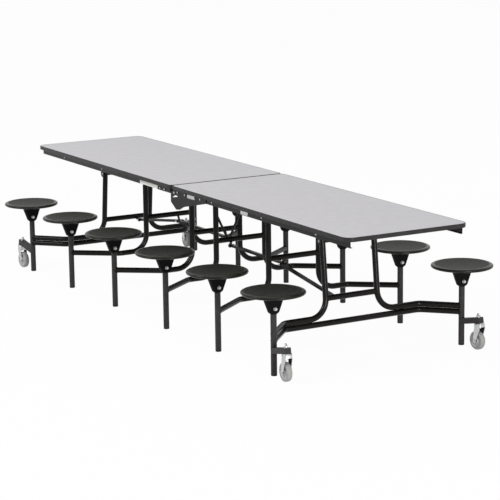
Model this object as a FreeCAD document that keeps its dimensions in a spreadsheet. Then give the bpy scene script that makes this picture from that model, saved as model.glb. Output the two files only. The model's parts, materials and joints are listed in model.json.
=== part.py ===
# Mobile cafeteria table: a top in two halves that fold up at the centre, six leg frames that carry
# twelve round stools, tie bars that keep the frames upright, and four casters.
# Millimetres, +Z up, floor at Z 0, X along the table. Everything is drawn for the right half (+X);
# the left half is the same set of pieces turned half a turn about Z.
import FreeCAD, Part
import Sketcher
import math
import os

V = FreeCAD.Vector
doc = FreeCAD.newDocument("cafeteria_table")

# Driving dimensions
DIMENSIONS = {
    # Table top
    "top_length": 3678,
    "top_width": 736,
    "top_height": 737,
    "top_thickness": 22,
    "band_thickness": 3,
    "seam_gap": 2,
    "outer_corner_radius": 52,
    "seam_corner_radius": 30,
    # Side rails under the top
    "apron_height": 33,
    "apron_flange": 12,
    "apron_wall": 2.5,
    "apron_inset": 32,
    "apron_end_gap": 18,
    "apron_seam_gap": 130,
    # Centre hinge
    "hinge_inset": 36,
    "hinge_drop": 79,
    "hinge_pin_diameter": 12,
    "hinge_pin_head": 4,
    "hinge_pin_head_diameter": 20,
    "hinge_clearance": 0.1,
    "leaf_thickness": 5,
    "leaf_gap": 0.6,
    "leaf_lobe_radius": 16,
    "leaf_start": 25,
    "leaf_length": 95,
    "leaf_flange": 30,
    # Plates on the side rails at the seam
    "seam_plate_thickness": 4,
    "gusset_overhang": 53,
    "overhang_start": 8,
    "overhang_drop": 24,
    "gusset_end": 360,
    "gusset_end_drop": 33,
    "gusset_side_drop": 81,
    "gusset_tip_reach": 10,
    "gusset_tip_drop": 118,
    "gusset_tip_width": 40,
    "gusset_tip_rise": 5,
    "gusset_shoulder_reach": 100,
    "gusset_shoulder_drop": 90,
    "window_overhang": 37,
    "window_end": 56,
    "window_top_drop": 37,
    "window_bottom_drop": 54,
    "window_middle_overhang": 3,
    "splice_gap": 4,
    "splice_end": 215,
    "splice_drop": 33,
    # Leg frames
    "inner_pivot_x": 144,
    "mid_pivot_x": 730,
    "end_pivot_x": 1280,
    "pivot_drop": 25,
    "end_pivot_drop": 105,
    "end_spread": 40,
    "upright_y": 159,
    "upright_cap": 14,
    "leg_diameter": 31.5,
    "leg_wall": 2,
    "leg_height": 216,
    "end_leg_height": 213,
    "rail_drop": 32.5,
    "elbow_radius": 100,
    "bend_radius": 60,
    "bend_y": 342,
    "end_bend_y": 418,
    "crossbar_diameter": 31,
    "crossbar_wall": 2,
    "crossbar_height": 418,
    "end_crossbar_height": 311,
    "brace_diameter": 14,
    "brace_upright_height": 580,
    "brace_far_y": 60,
    "brace_foot_y": 78,
    "brace_foot_gap": 22,
    # Frame pivots
    "pivot_rod_diameter": 16,
    "pivot_clearance": 0.1,
    "pivot_tube_diameter": 25,
    "hanger_width": 40,
    "hanger_thickness": 5,
    "hanger_gap": 1,
    "hanger_flange": 30,
    # Tie bars
    "link_size": 16,
    "link_wall": 2,
    "link_end": 12,
    "link_drop": 314,
    "link_offset": 22,
    "link_side_gap": 0.5,
    "link_pin_diameter": 10,
    "link_pin_clearance": 0.1,
    "link_pin_head": 6,
    "link_pin_head_diameter": 16,
    "open_pivot_clearance": 1.5,
    "lug_y": 57,
    "lug_thickness": 4,
    "lug_radius": 12,
    # Stools
    "inner_stool_x": 320,
    "mid_stool_x": 911,
    "end_stool_x": 1487,
    "stool_y": 578,
    "post_diameter": 32,
    "post_wall": 2,
    "glide_height": 8,
    "glide_plug": 15,
    "glide_clearance": 0.2,
    "seat_height": 440,
    "seat_diameter": 330,
    "seat_thickness": 18,
    "seat_dish": 6,
    "seat_rim_radius": 8,
    "seat_tuck": 6,
    "bracket_top_diameter": 124,
    "bracket_bottom_diameter": 59,
    "bracket_height": 102,
    "bracket_wall": 4,
    "bracket_chamfer": 9,
    "bracket_lip": 5,
    "bracket_flat": 18,
    # Casters
    "caster_arm_height": 30,
    "caster_arm_width": 34,
    "caster_arm_wall": 3,
    "caster_arm_root": 130,
    "caster_rise": 31,
    "caster_reach": 140,
    "caster_splay": 10,
    "caster_arm_end": 18,
    "stem_diameter": 12,
    "stem_clearance": 0.1,
    "stem_head_diameter": 20,
    "stem_head_height": 6,
    "crown_diameter": 48,
    "crown_height": 12,
    "crown_gap": 1,
    "fork_wall": 3,
    "fork_side_gap": 2,
    "fork_neck": 20,
    "fork_eye_radius": 14,
    "wheel_diameter": 100,
    "wheel_width": 32,
    "wheel_tread_bevel": 7,
    "wheel_web_width": 22,
    "wheel_rim_diameter": 74,
    "wheel_hub_diameter": 34,
    "wheel_trail": 33,
    "wheel_floor_gap": 1,
    "axle_diameter": 8,
    "axle_clearance": 0.1,
    "axle_head": 4,
    "axle_head_diameter": 14,
}

# Places worked out from them
PLACES = {
    "half_length": "=dims.top_length / 2",
    "half_width": "=dims.top_width / 2",
    "underside": "=dims.top_height - dims.top_thickness",
    "apron_face": "=half_width - dims.apron_inset",
    "apron_bottom": "=underside - dims.apron_height",
    "apron_length": "=half_length - dims.apron_end_gap - dims.apron_seam_gap",
    "hinge_y": "=apron_face - dims.hinge_inset",
    "hinge_z": "=underside - dims.hinge_drop",
    "inner_pivot_z": "=underside - dims.pivot_drop",
    "mid_pivot_z": "=underside - dims.pivot_drop",
    "end_pivot_z": "=underside - dims.end_pivot_drop",
    "inner_run_x": "=dims.inner_pivot_x",
    "mid_run_x": "=dims.mid_pivot_x",
    "end_run_x": "=dims.end_pivot_x + dims.end_spread",
    "inner_run_z": "=dims.leg_height",
    "mid_run_z": "=dims.leg_height",
    "end_run_z": "=dims.end_leg_height",
    "inner_bend_y": "=dims.bend_y",
    "mid_bend_y": "=dims.bend_y",
    "end_bend_y": "=dims.end_bend_y",
    "inner_crossbar_z": "=dims.crossbar_height",
    "mid_crossbar_z": "=dims.crossbar_height",
    "end_crossbar_z": "=dims.end_crossbar_height",
    "inner_crossbar_x": "=dims.inner_pivot_x",
    "mid_crossbar_x": "=dims.mid_pivot_x",
    "end_slope": "=dims.end_spread / (end_pivot_z - end_run_z)",
    "end_crossbar_x": "=dims.end_pivot_x + end_slope * (end_pivot_z - end_crossbar_z)",
    "hanger_y": "=dims.upright_y + dims.leg_diameter / 2 + dims.hanger_gap",
    "rod_bore": "=dims.pivot_rod_diameter + 2 * dims.pivot_clearance",
    "link_y": "=(dims.lug_thickness + dims.link_size) / 2 + dims.link_side_gap",
    "seat_radius": "=dims.seat_diameter / 2",
    "seat_underside": "=dims.seat_height - dims.seat_thickness",
    "arm_plan_length": "=sqrt(dims.caster_reach^2 + dims.caster_splay^2)",
    "arm_slope_length": "=sqrt(arm_plan_length^2 + dims.caster_rise^2)",
    "arm_cos": "=arm_plan_length / arm_slope_length",
    "arm_sin": "=dims.caster_rise / arm_slope_length",
    "stem_z": "=dims.caster_arm_root + dims.caster_rise",
    "axle_z": "=dims.wheel_diameter / 2 + dims.wheel_floor_gap",
    "axle_drop": "=(stem_z - dims.wheel_trail * arm_sin - axle_z) / arm_cos",
    "crown_top": "=-dims.caster_arm_height / 2 - dims.crown_gap",
    "crown_bottom": "=crown_top - dims.crown_height",
    "fork_inside": "=dims.wheel_width / 2 + dims.fork_side_gap",
}

FRAMES = ("inner", "mid", "end")
SIDES = {"near": -1, "far": 1}
HALF_TURN = FreeCAD.Rotation(V(0, 0, 1), 180)
HALVES = {"right": FreeCAD.Rotation(), "left": HALF_TURN}
ALONG = {
    "X": FreeCAD.Rotation(V(0, 1, 0), 90),
    "Y": FreeCAD.Rotation(V(1, 0, 0), -90),
    "Z": FreeCAD.Rotation(),
}
subparts = []


# The two sheets, and a desk cell that works out one formula at a time
def make_sheet(name, cells):
    sheet = doc.addObject("Spreadsheet::Sheet", name)
    for row, (alias, content) in enumerate(cells.items(), start=1):
        sheet.set(f"A{row}", alias)
        sheet.set(f"B{row}", str(content))
        sheet.setAlias(f"B{row}", alias)
    doc.recompute()
    return sheet


make_sheet("dims", DIMENSIONS)
make_sheet("places", PLACES)
desk = doc.addObject("Spreadsheet::Sheet", "desk")


def number(formula):
    """The value of a formula on the sheets' cells."""
    desk.set("A1", f"={formula}")
    desk.recompute()
    return float(desk.get("A1"))


def spot(x, y, z):
    """A point from three formulas."""
    return V(number(x), number(y), number(z))


# Primitives whose sizes and places are tied to formulas
def place(piece, corner):
    for axis, formula in zip("xyz", corner):
        piece.setExpression(f".Placement.Base.{axis}", formula)
    return piece


def box(size, corner):
    piece = doc.addObject("Part::Box", "box")
    for edge, formula in zip(("Length", "Width", "Height"), size):
        piece.setExpression(edge, formula)
    return place(piece, corner)


def cylinder(diameter, length, start, axis="Z"):
    piece = doc.addObject("Part::Cylinder", "cylinder")
    piece.Placement = FreeCAD.Placement(V(), ALONG[axis])
    piece.setExpression("Radius", f"({diameter}) / 2")
    piece.setExpression("Height", length)
    return place(piece, start)


def slanted_cylinder(diameter, start, end):
    """A round bar between two points."""
    piece = doc.addObject("Part::Cylinder", "bar")
    piece.setExpression("Radius", f"({diameter}) / 2")
    piece.Height = (end - start).Length
    piece.Placement = FreeCAD.Placement(start, FreeCAD.Rotation(V(0, 0, 1), end - start))
    return piece


def cut(base, *tools):
    for tool in tools:
        piece = doc.addObject("Part::Cut", "cut")
        piece.Base = base
        piece.Tool = tool
        base = piece
    return base


def fuse(*pieces):
    piece = doc.addObject("Part::MultiFuse", "fuse")
    piece.Shapes = list(pieces)
    piece.Refine = True
    return piece


def tube(diameter, wall, length, start, axis="Z"):
    outside = cylinder(diameter, length, start, axis)
    inside = cylinder(f"{diameter} - 2 * ({wall})", length, start, axis)
    return cut(outside, inside)


# Sketched bodies
def new_sketch(body, plane):
    sketch = body.newObject("Sketcher::SketchObject", "sketch")
    support = next(feature for feature in body.Origin.OriginFeatures if feature.Role == plane)
    sketch.AttachmentSupport = [(support, "")]
    sketch.MapMode = "FlatFace"
    return sketch


def tie(sketch, kind, *where, formula):
    """One sketch constraint whose value follows a formula."""
    index = sketch.addConstraint(Sketcher.Constraint(kind, *where, number(formula)))
    sketch.setExpression(f"Constraints[{index}]", formula)


def tie_point(sketch, edge, point, x, y):
    tie(sketch, "DistanceX", -1, 1, edge, point, formula=x)
    tie(sketch, "DistanceY", -1, 1, edge, point, formula=y)


def polygon(sketch, corners):
    """A closed outline of straight lines through corners given as pairs of formulas."""
    spots = [spot(x, y, "0") for x, y in corners]
    first = sketch.GeometryCount
    count = len(corners)
    for index in range(count):
        sketch.addGeometry(Part.LineSegment(spots[index], spots[(index + 1) % count]))
    for index, (x, y) in enumerate(corners):
        after = first + (index + 1) % count
        sketch.addConstraint(Sketcher.Constraint("Coincident", first + index, 2, after, 1))
        tie_point(sketch, first + index, 1, x, y)


def circle(sketch, x, y, diameter):
    edge = sketch.addGeometry(Part.Circle(spot(x, y, "0"), V(0, 0, 1), number(diameter) / 2))
    tie_point(sketch, edge, 3, x, y)
    tie(sketch, "Radius", edge, formula=f"({diameter}) / 2")


def rounded_loop(sketch, inset):
    """The half top's outline, moved inwards by inset: straight sides joined by corner arcs."""
    left = f"dims.seam_gap / 2 + {inset}"
    right = f"places.half_length - {inset}"
    side = f"places.half_width - {inset}"
    radii = [f"dims.outer_corner_radius - {inset}"] * 2 + [f"dims.seam_corner_radius - {inset}"] * 2
    other_side = f"-({side})"
    marks = [(right, other_side), (right, side), (left, side), (left, other_side)]
    corners = [spot(x, y, "0") for x, y in marks]
    steps = [V(1, 0, 0), V(0, 1, 0), V(-1, 0, 0), V(0, -1, 0)]
    first = sketch.GeometryCount
    starts, ends = [], []
    for index in range(4):
        radius = number(radii[index])
        starts.append(corners[index] - steps[index] * radius)
        ends.append(corners[index] + steps[(index + 1) % 4] * radius)
    for index in range(4):
        sketch.addGeometry(Part.LineSegment(ends[index - 1], starts[index]))
    for index in range(4):
        centre = starts[index] + steps[(index + 1) % 4] * number(radii[index])
        middle = centre + (steps[index] - steps[(index + 1) % 4]) * number(radii[index]) * 0.5 ** 0.5
        sketch.addGeometry(Part.Arc(starts[index], middle, ends[index]))
    for index in range(4):
        line, arc, after = first + index, first + 4 + index, first + (index + 1) % 4
        sketch.addConstraint(Sketcher.Constraint("Tangent", line, 2, arc, 1))
        sketch.addConstraint(Sketcher.Constraint("Tangent", arc, 2, after, 1))
        sketch.addConstraint(Sketcher.Constraint("Horizontal" if index % 2 == 0 else "Vertical", line))
        tie(sketch, "Radius", arc, formula=radii[index])
    tie(sketch, "DistanceY", first, 1, -1, 1, formula=side)
    tie(sketch, "DistanceX", -1, 1, first + 1, 1, formula=right)
    tie(sketch, "DistanceY", -1, 1, first + 2, 1, formula=side)
    tie(sketch, "DistanceX", -1, 1, first + 3, 1, formula=left)


def pad(body, sketch, length, reverse=False):
    feature = body.newObject("PartDesign::Pad", "pad")
    feature.Profile = sketch
    feature.Reversed = reverse
    feature.setExpression("Length", length)
    return feature


def revolve(body, sketch, axis):
    feature = body.newObject("PartDesign::Revolution", "turn")
    feature.Profile = sketch
    feature.ReferenceAxis = (sketch, [axis])
    feature.Angle = 360
    return feature


def cut_through(body, sketch):
    pocket = body.newObject("PartDesign::Pocket", "cut")
    pocket.Profile = sketch
    pocket.Type = "ThroughAll"
    pocket.Midplane = True


def plate(corners, thickness, face_y, towards, lobe=None, hole=None, window=None):
    """An upright plate in the XZ plane: a straight-sided outline, perhaps with a round lobe, a hole
    in the middle of the lobe, or a straight-sided window.

    face_y is the face that the plate starts from, and it grows from there towards -Y or +Y."""
    body = doc.addObject("PartDesign::Body", "plate")
    outline = new_sketch(body, "XZ_Plane")
    polygon(outline, corners)
    pad(body, outline, thickness, reverse=towards > 0)
    if lobe:
        x, z, radius = lobe
        round_end = new_sketch(body, "XZ_Plane")
        circle(round_end, x, z, f"2 * ({radius})")
        pad(body, round_end, thickness, reverse=towards > 0)
    if hole:
        drilled = new_sketch(body, "XZ_Plane")
        circle(drilled, x, z, hole)
        cut_through(body, drilled)
    if window:
        opening = new_sketch(body, "XZ_Plane")
        polygon(opening, window)
        cut_through(body, opening)
    return place(body, ("0", face_y, "0"))


# Each node is a group of one or more separate solids. The left half's node holds the same pieces as
# the right half's, turned half a turn.
def group(label, pieces, turn):
    piece = doc.addObject("Part::Compound", label)
    piece.Links = list(pieces)
    piece.Placement = FreeCAD.Placement(V(), turn)
    piece.Label = label
    subparts.append(piece)


def node(name, *pieces):
    for half, turn in HALVES.items():
        group(f"{half}_{name}", pieces, turn)


# Table top of one half
def top_panel():
    body = doc.addObject("PartDesign::Body", "panel")
    sketch = new_sketch(body, "XY_Plane")
    rounded_loop(sketch, "dims.band_thickness")
    pad(body, sketch, "dims.top_thickness")
    return place(body, ("0", "0", "places.underside"))


def edge_band():
    body = doc.addObject("PartDesign::Body", "band")
    sketch = new_sketch(body, "XY_Plane")
    rounded_loop(sketch, "0")
    rounded_loop(sketch, "dims.band_thickness")
    pad(body, sketch, "dims.top_thickness")
    return place(body, ("0", "0", "places.underside"))


def apron(side):
    """A channel with its back outwards and its open side towards the middle of the table."""
    start = "dims.apron_seam_gap"
    near_corner = "-places.apron_face"
    inside_corner = f"{near_corner} + dims.apron_wall"
    far_corner = "places.apron_face - dims.apron_flange"
    low = "places.apron_bottom"
    length, flange, height = "places.apron_length", "dims.apron_flange", "dims.apron_height"
    wall = "dims.apron_wall"
    outside = box((length, flange, height), (start, near_corner if side < 0 else far_corner, low))
    inside = box(
        (length, f"{flange} - {wall}", f"{height} - 2 * {wall}"),
        (start, inside_corner if side < 0 else far_corner, f"{low} + {wall}"),
    )
    return cut(outside, inside)


# Centre hinge
def hinge_leaf(side):
    """A plate that hangs from the top to the hinge pin, with a screw flange against the top.

    On both sides it lies on the -Y side of the plane that it shares with the other half's leaf."""
    radius = "dims.leaf_lobe_radius"
    end = "dims.leaf_start + dims.leaf_length"
    corners = [
        (f"-{radius}", "places.hinge_z"),
        (radius, "places.hinge_z"),
        (end, "places.underside"),
        ("dims.leaf_start", "places.underside"),
    ]
    lobe = ("0", "places.hinge_z", radius)
    hole = "dims.hinge_pin_diameter + 2 * dims.hinge_clearance"
    face = f"{side} * places.hinge_y - dims.leaf_gap / 2"
    leaf = plate(corners, "dims.leaf_thickness", face, -1, lobe, hole)
    flange = box(
        ("dims.leaf_length", "dims.leaf_flange", "dims.leaf_thickness"),
        ("dims.leaf_start", f"{face} - dims.leaf_flange", "places.underside - dims.leaf_thickness"),
    )
    return fuse(leaf, flange)


def hinge_pin(side):
    """A pin through two leaves, with a head at each end."""
    half = "(dims.leaf_thickness + dims.leaf_gap / 2)"
    head, gap = "dims.hinge_pin_head", "dims.leaf_gap / 2"
    middle = f"{side} * places.hinge_y"
    low = f"{middle} - {half} - {gap} - {head}"
    length = f"2 * ({half} + {gap} + {head})"
    pieces = [cylinder("dims.hinge_pin_diameter", length, ("0", low, "places.hinge_z"), "Y")]
    for start in (low, f"{middle} + {half} + {gap}"):
        pieces.append(cylinder("dims.hinge_pin_head_diameter", head, ("0", start, "places.hinge_z"), "Y"))
    return fuse(*pieces)


# Plates on the side rails at the seam: the gusset at the near side, the splice at the far side
def gusset_plate():
    """A long plate on the rail's outer face that reaches past the seam, with a pointed foot and a
    three-cornered window there. Past the seam its top slopes down, clear of the other half as that
    swings up about the hinge pin."""
    top = "places.underside"
    tip_z = f"{top} - dims.gusset_tip_drop"
    corners = [
        ("dims.overhang_start", top),
        ("-dims.gusset_overhang", f"{top} - dims.overhang_drop"),
        ("-dims.gusset_overhang", f"{top} - dims.gusset_side_drop"),
        ("dims.gusset_tip_reach", tip_z),
        ("dims.gusset_tip_reach + dims.gusset_tip_width", f"{tip_z} + dims.gusset_tip_rise"),
        ("dims.gusset_shoulder_reach", f"{top} - dims.gusset_shoulder_drop"),
        ("dims.gusset_end", f"{top} - dims.gusset_end_drop"),
        ("dims.gusset_end", top),
    ]
    window = [
        ("-dims.window_overhang", f"{top} - dims.window_bottom_drop"),
        ("dims.window_end", f"{top} - dims.window_top_drop"),
        ("-dims.window_middle_overhang", f"{top} - dims.window_top_drop"),
    ]
    return plate(corners, "dims.seam_plate_thickness", "-places.apron_face", -1, window=window)


def splice_plate():
    """A narrow plate on the rail's outer face that stops just short of the other half's gusset."""
    start = "dims.gusset_overhang + dims.splice_gap"
    return box(
        (f"dims.splice_end - ({start})", "dims.seam_plate_thickness", "dims.splice_drop"),
        (start, "places.apron_face", "places.underside - dims.splice_drop"),
    )


# Pivots that hold a leg frame under the top
def pivot_rod(frame):
    reach = "places.hanger_y + dims.hanger_thickness"
    return cylinder(
        "dims.pivot_rod_diameter",
        f"2 * ({reach})",
        (f"dims.{frame}_pivot_x", f"-({reach})", f"places.{frame}_pivot_z"),
        "Y",
    )


def hanger(frame, side):
    """A plate under the top with a screw flange and a hole for the pivot rod."""
    x = f"dims.{frame}_pivot_x"
    z = f"places.{frame}_pivot_z"
    face = "places.hanger_y" if side > 0 else "-places.hanger_y - dims.hanger_thickness"
    flange_face = face if side > 0 else "-places.hanger_y - dims.hanger_flange"
    half = "dims.hanger_width / 2"
    cheek = box(
        ("dims.hanger_width", "dims.hanger_thickness", f"places.underside - {z}"),
        (f"{x} - {half}", face, z),
    )
    eye = cylinder("dims.hanger_width", "dims.hanger_thickness", (x, face, z), "Y")
    flange = box(
        ("dims.hanger_width", "dims.hanger_flange", "dims.hanger_thickness"),
        (f"{x} - {half}", flange_face, "places.underside - dims.hanger_thickness"),
    )
    hole = cylinder("dims.pivot_rod_diameter", "dims.hanger_thickness", (x, face, z), "Y")
    return cut(fuse(cheek, eye, flange), hole)


# Bent tubes
def bent_bar(points, radii, diameter):
    """A round bar along straight runs joined by tangent arcs of the given radii."""
    edges = []
    start = points[0]
    for before, corner, after, radius in zip(points, points[1:], points[2:], radii):
        back = (before - corner).normalize()
        ahead = (after - corner).normalize()
        half_angle = back.getAngle(ahead) / 2
        bisector = (back + ahead).normalize()
        reach = radius / math.tan(half_angle)
        middle = corner + bisector * (radius / math.sin(half_angle) - radius)
        arc_start = corner + back * reach
        arc_end = corner + ahead * reach
        edges.append(Part.LineSegment(start, arc_start).toShape())
        edges.append(Part.Arc(arc_start, middle, arc_end).toShape())
        start = arc_end
    edges.append(Part.LineSegment(start, points[-1]).toShape())
    ring = Part.Wire(Part.Circle(points[0], points[1] - points[0], diameter / 2).toShape())
    return Part.Wire(edges).makePipeShell([ring], True, False)


def bent_tube(name, points, radii, cuts):
    """A hollow leg tube along a bent path, with its ends and holes cut by other shapes."""
    outside = bent_bar(points, radii, number("dims.leg_diameter"))
    inside = bent_bar(points, radii, number("dims.leg_diameter - 2 * dims.leg_wall"))
    shape = outside.cut(inside)
    for tool in cuts:
        shape = shape.cut(tool)
    piece = doc.addObject("Part::Feature", name)
    piece.Shape = shape
    return piece


def post_outside(frame, side):
    """The space that a stool post takes, which tube ends are shaped to."""
    base = V(number(f"dims.{frame}_stool_x"), side * number("dims.stool_y"), 0)
    return Part.makeCylinder(number("dims.post_diameter / 2"), number("dims.seat_height"), base)


def upright_ends(frame, side):
    """The elbow corner below an upright, and its top, a little above the pivot."""
    y = side * number("dims.upright_y")
    corner = V(number(f"places.{frame}_run_x"), y, number(f"places.{frame}_run_z"))
    pivot = V(number(f"dims.{frame}_pivot_x"), y, number(f"places.{frame}_pivot_z"))
    top = pivot + (pivot - corner).normalize() * number("dims.upright_cap")
    return corner, pivot, top


def leg_tube(frame, side):
    """From a stool post in towards the table, along the run, round the elbow and up to the pivot."""
    corner, pivot, top = upright_ends(frame, side)
    post = V(number(f"dims.{frame}_stool_x"), side * number("dims.stool_y"), corner.z)
    bend = V(corner.x, side * number(f"places.{frame}_bend_y"), corner.z)
    hole_length = 2 * number("dims.leg_diameter")
    hole_start = V(pivot.x, pivot.y - hole_length / 2, pivot.z)
    rod_hole = Part.makeCylinder(number("places.rod_bore / 2"), hole_length, hole_start, V(0, 1, 0))
    radii = [number("dims.bend_radius"), number("dims.elbow_radius")]
    cuts = [post_outside(frame, side), rod_hole]
    return bent_tube("leg_tube", [post, bend, corner, top], radii, cuts)


def bottom_rail():
    """One tube from post to post of the end frame, under its leg tubes and bent like them."""
    height = number("places.end_run_z - dims.rail_drop")
    points = [
        V(number("dims.end_stool_x"), -number("dims.stool_y"), height),
        V(number("places.end_run_x"), -number("places.end_bend_y"), height),
        V(number("places.end_run_x"), number("places.end_bend_y"), height),
        V(number("dims.end_stool_x"), number("dims.stool_y"), height),
    ]
    radii = [number("dims.bend_radius")] * 2
    cuts = [post_outside("end", side) for side in SIDES.values()]
    return bent_tube("bottom_rail", points, radii, cuts)


# Cross members of a leg frame
def upright_bar(frame, side):
    """The outside of an upright, which the cross members' ends are shaped to."""
    corner, _, top = upright_ends(frame, side)
    return slanted_cylinder("dims.leg_diameter", corner, top)


def cross_tube(frame, diameter, wall, x, z):
    """A tube between the two uprights, with its ends shaped to them."""
    length = "2 * dims.upright_y"
    piece = tube(diameter, wall, length, (x, "-dims.upright_y", z), "Y")
    return cut(piece, *[upright_bar(frame, side) for side in SIDES.values()])


def crossbar(frame):
    place_x, place_z = f"places.{frame}_crossbar_x", f"places.{frame}_crossbar_z"
    return cross_tube(frame, "dims.crossbar_diameter", "dims.crossbar_wall", place_x, place_z)


def pivot_tube(frame):
    """The tube that turns on the pivot rod."""
    wall = "(dims.pivot_tube_diameter - places.rod_bore) / 2"
    place_x, place_z = f"dims.{frame}_pivot_x", f"places.{frame}_pivot_z"
    return cross_tube(frame, "dims.pivot_tube_diameter", wall, place_x, place_z)


def crossbar_outside(frame):
    return cylinder(
        "dims.crossbar_diameter",
        "2 * dims.upright_y",
        (f"places.{frame}_crossbar_x", "-dims.upright_y", f"places.{frame}_crossbar_z"),
        "Y",
    )


def link_spot(frame):
    """Where the link pin of a frame is: the same step from every frame's pivot."""
    return f"dims.{frame}_pivot_x - dims.link_offset", f"places.{frame}_pivot_z - dims.link_drop"


def link_lug(frame):
    """A plate from the crossbar to the link pin."""
    pin_x, pin_z = link_spot(frame)
    bar_x, bar_z = f"places.{frame}_crossbar_x", f"places.{frame}_crossbar_z"
    wide = "dims.lug_radius"
    if frame == "end":
        corners = [(pin_x, f"{pin_z} - {wide}"), (bar_x, f"{bar_z} - {wide}"),
                   (bar_x, f"{bar_z} + {wide}"), (pin_x, f"{pin_z} + {wide}")]
    else:
        corners = [(f"{pin_x} - {wide}", pin_z), (f"{pin_x} + {wide}", pin_z),
                   (f"{bar_x} + {wide}", bar_z), (f"{bar_x} - {wide}", bar_z)]
    play = "dims.open_pivot_clearance" if frame == "inner" else "dims.link_pin_clearance"
    hole = f"dims.link_pin_diameter + 2 * {play}"
    face = "-dims.lug_y + dims.lug_thickness / 2"
    piece = plate(corners, "dims.lug_thickness", face, -1, (pin_x, pin_z, wide), hole)
    return cut(piece, crossbar_outside(frame))


def brace_rod(frame, foot_y, top):
    """A rod from the crossbar's top side to a tube of its frame, with both ends shaped to what they meet."""
    x = f"dims.{frame}_pivot_x"
    radius = number("dims.crossbar_diameter / 2")
    foot = spot(x, foot_y, f"places.{frame}_crossbar_z + dims.crossbar_diameter / 2")
    start = foot + (foot - top).normalize() * radius
    pivot_outside = cylinder(
        "dims.pivot_tube_diameter",
        "2 * dims.upright_y",
        (x, "-dims.upright_y", f"places.{frame}_pivot_z"),
        "Y",
    )
    rod = slanted_cylinder("dims.brace_diameter", start, top)
    return cut(rod, crossbar_outside(frame), upright_bar(frame, -1), pivot_outside)


def v_brace(frame):
    """Two rods close together on the crossbar: one leans to the near upright, one to the pivot tube."""
    x = f"dims.{frame}_pivot_x"
    near_top = spot(x, "-dims.upright_y", "dims.brace_upright_height")
    far_top = spot(x, "dims.brace_far_y", f"places.{frame}_pivot_z")
    near_rod = brace_rod(frame, "-dims.brace_foot_y - dims.brace_foot_gap / 2", near_top)
    far_rod = brace_rod(frame, "-dims.brace_foot_y + dims.brace_foot_gap / 2", far_top)
    return near_rod, far_rod


# Tie bars
def link_bar(pinned, loose, y, holes):
    """A square tube that runs a little past two frames' link pins, drilled along Y at each of them."""
    start = spot(link_spot(pinned)[0], y, link_spot(pinned)[1])
    end = spot(link_spot(loose)[0], y, link_spot(loose)[1])
    span = (end - start).Length
    low = -number("dims.link_end")
    bars = []
    for size in ("dims.link_size", "dims.link_size - 2 * dims.link_wall"):
        bar = doc.addObject("Part::Box", "link_bar")
        bar.Length = span - 2 * low
        bar.setExpression("Width", size)
        bar.setExpression("Height", size)
        place(bar, (str(low), f"-({size}) / 2", f"-({size}) / 2"))
        bars.append(bar)
    for x, diameter in zip((0, span), holes):
        bars.append(cylinder(diameter, "dims.link_size", (str(x), "-dims.link_size / 2", "0"), "Y"))
    slope = math.atan2(end.z - start.z, end.x - start.x)
    link = cut(*bars)
    link.Placement = FreeCAD.Placement(start, FreeCAD.Rotation(V(0, 1, 0), -math.degrees(slope)))
    return link


def link_pin(frame, low_y, high_y):
    """A pin along Y between two faces, with a head outside each of them."""
    x, z = link_spot(frame)
    head = "dims.link_pin_head"
    gap = "dims.link_side_gap"
    length = f"({high_y}) - ({low_y}) + 2 * {head}"
    pieces = [cylinder("dims.link_pin_diameter", length, (x, f"{low_y} - {head}", z), "Y")]
    for start in (f"{low_y} - {head}", f"{high_y} + {gap}"):
        pieces.append(cylinder("dims.link_pin_head_diameter", f"{head} - {gap}", (x, start, z), "Y"))
    return fuse(*pieces)


OUTER_LINK_Y = "(-dims.lug_y - places.link_y)"
INNER_LINK_Y = "(-dims.lug_y + places.link_y)"
OUTER_LINK_FACE = f"{OUTER_LINK_Y} - dims.link_size / 2"
INNER_LINK_FACE = f"{INNER_LINK_Y} + dims.link_size / 2"
PIN_HOLE = "dims.link_pin_diameter"
LOOSE_HOLE = "dims.link_pin_diameter + 2 * dims.open_pivot_clearance"


def outer_link():
    """From the end frame, where it is pinned, to the pin under the mid frame."""
    pin = link_pin("end", OUTER_LINK_FACE, "-dims.lug_y + dims.lug_thickness / 2")
    return link_bar("end", "mid", OUTER_LINK_Y, (PIN_HOLE, LOOSE_HOLE)), pin


def inner_link():
    """From the mid frame, where it is pinned, to the inner frame's lug. It carries both its pins."""
    mid_pin = link_pin("mid", OUTER_LINK_FACE, INNER_LINK_FACE)
    inner_pin = link_pin("inner", "-dims.lug_y - dims.lug_thickness / 2", INNER_LINK_FACE)
    return link_bar("mid", "inner", INNER_LINK_Y, (PIN_HOLE, PIN_HOLE)), mid_pin, inner_pin


# Stools
def stool_spot(frame, side):
    return f"dims.{frame}_stool_x", f"{side} * dims.stool_y"


def stool_post(frame, side):
    x, y = stool_spot(frame, side)
    length = "places.seat_underside - dims.glide_height"
    return tube("dims.post_diameter", "dims.post_wall", length, (x, y, "dims.glide_height"))


def glide(frame, side):
    """A floor glide whose plug sits in the post."""
    x, y = stool_spot(frame, side)
    foot = cylinder("dims.post_diameter", "dims.glide_height", (x, y, "0"))
    plug = cylinder(
        "dims.post_diameter - 2 * dims.post_wall - 2 * dims.glide_clearance",
        "dims.glide_height + dims.glide_plug",
        (x, y, "0"),
    )
    return fuse(foot, plug)


def turned(profile):
    """A straight-sided profile turned about Z."""
    body = doc.addObject("PartDesign::Body", "turned")
    sketch = new_sketch(body, "XZ_Plane")
    polygon(sketch, profile)
    revolve(body, sketch, "V_Axis")
    return body


def flattened(piece, flat, reach, height):
    """What a slab that is flat to each side of X leaves of a piece that hangs below Z 0."""
    slab = box((f"2 * ({flat})", f"2 * ({reach})", height), (f"-({flat})", f"-({reach})", f"-({height})"))
    piece_left = doc.addObject("Part::Common", "flattened")
    piece_left.Base = piece
    piece_left.Tool = slab
    return piece_left


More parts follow.
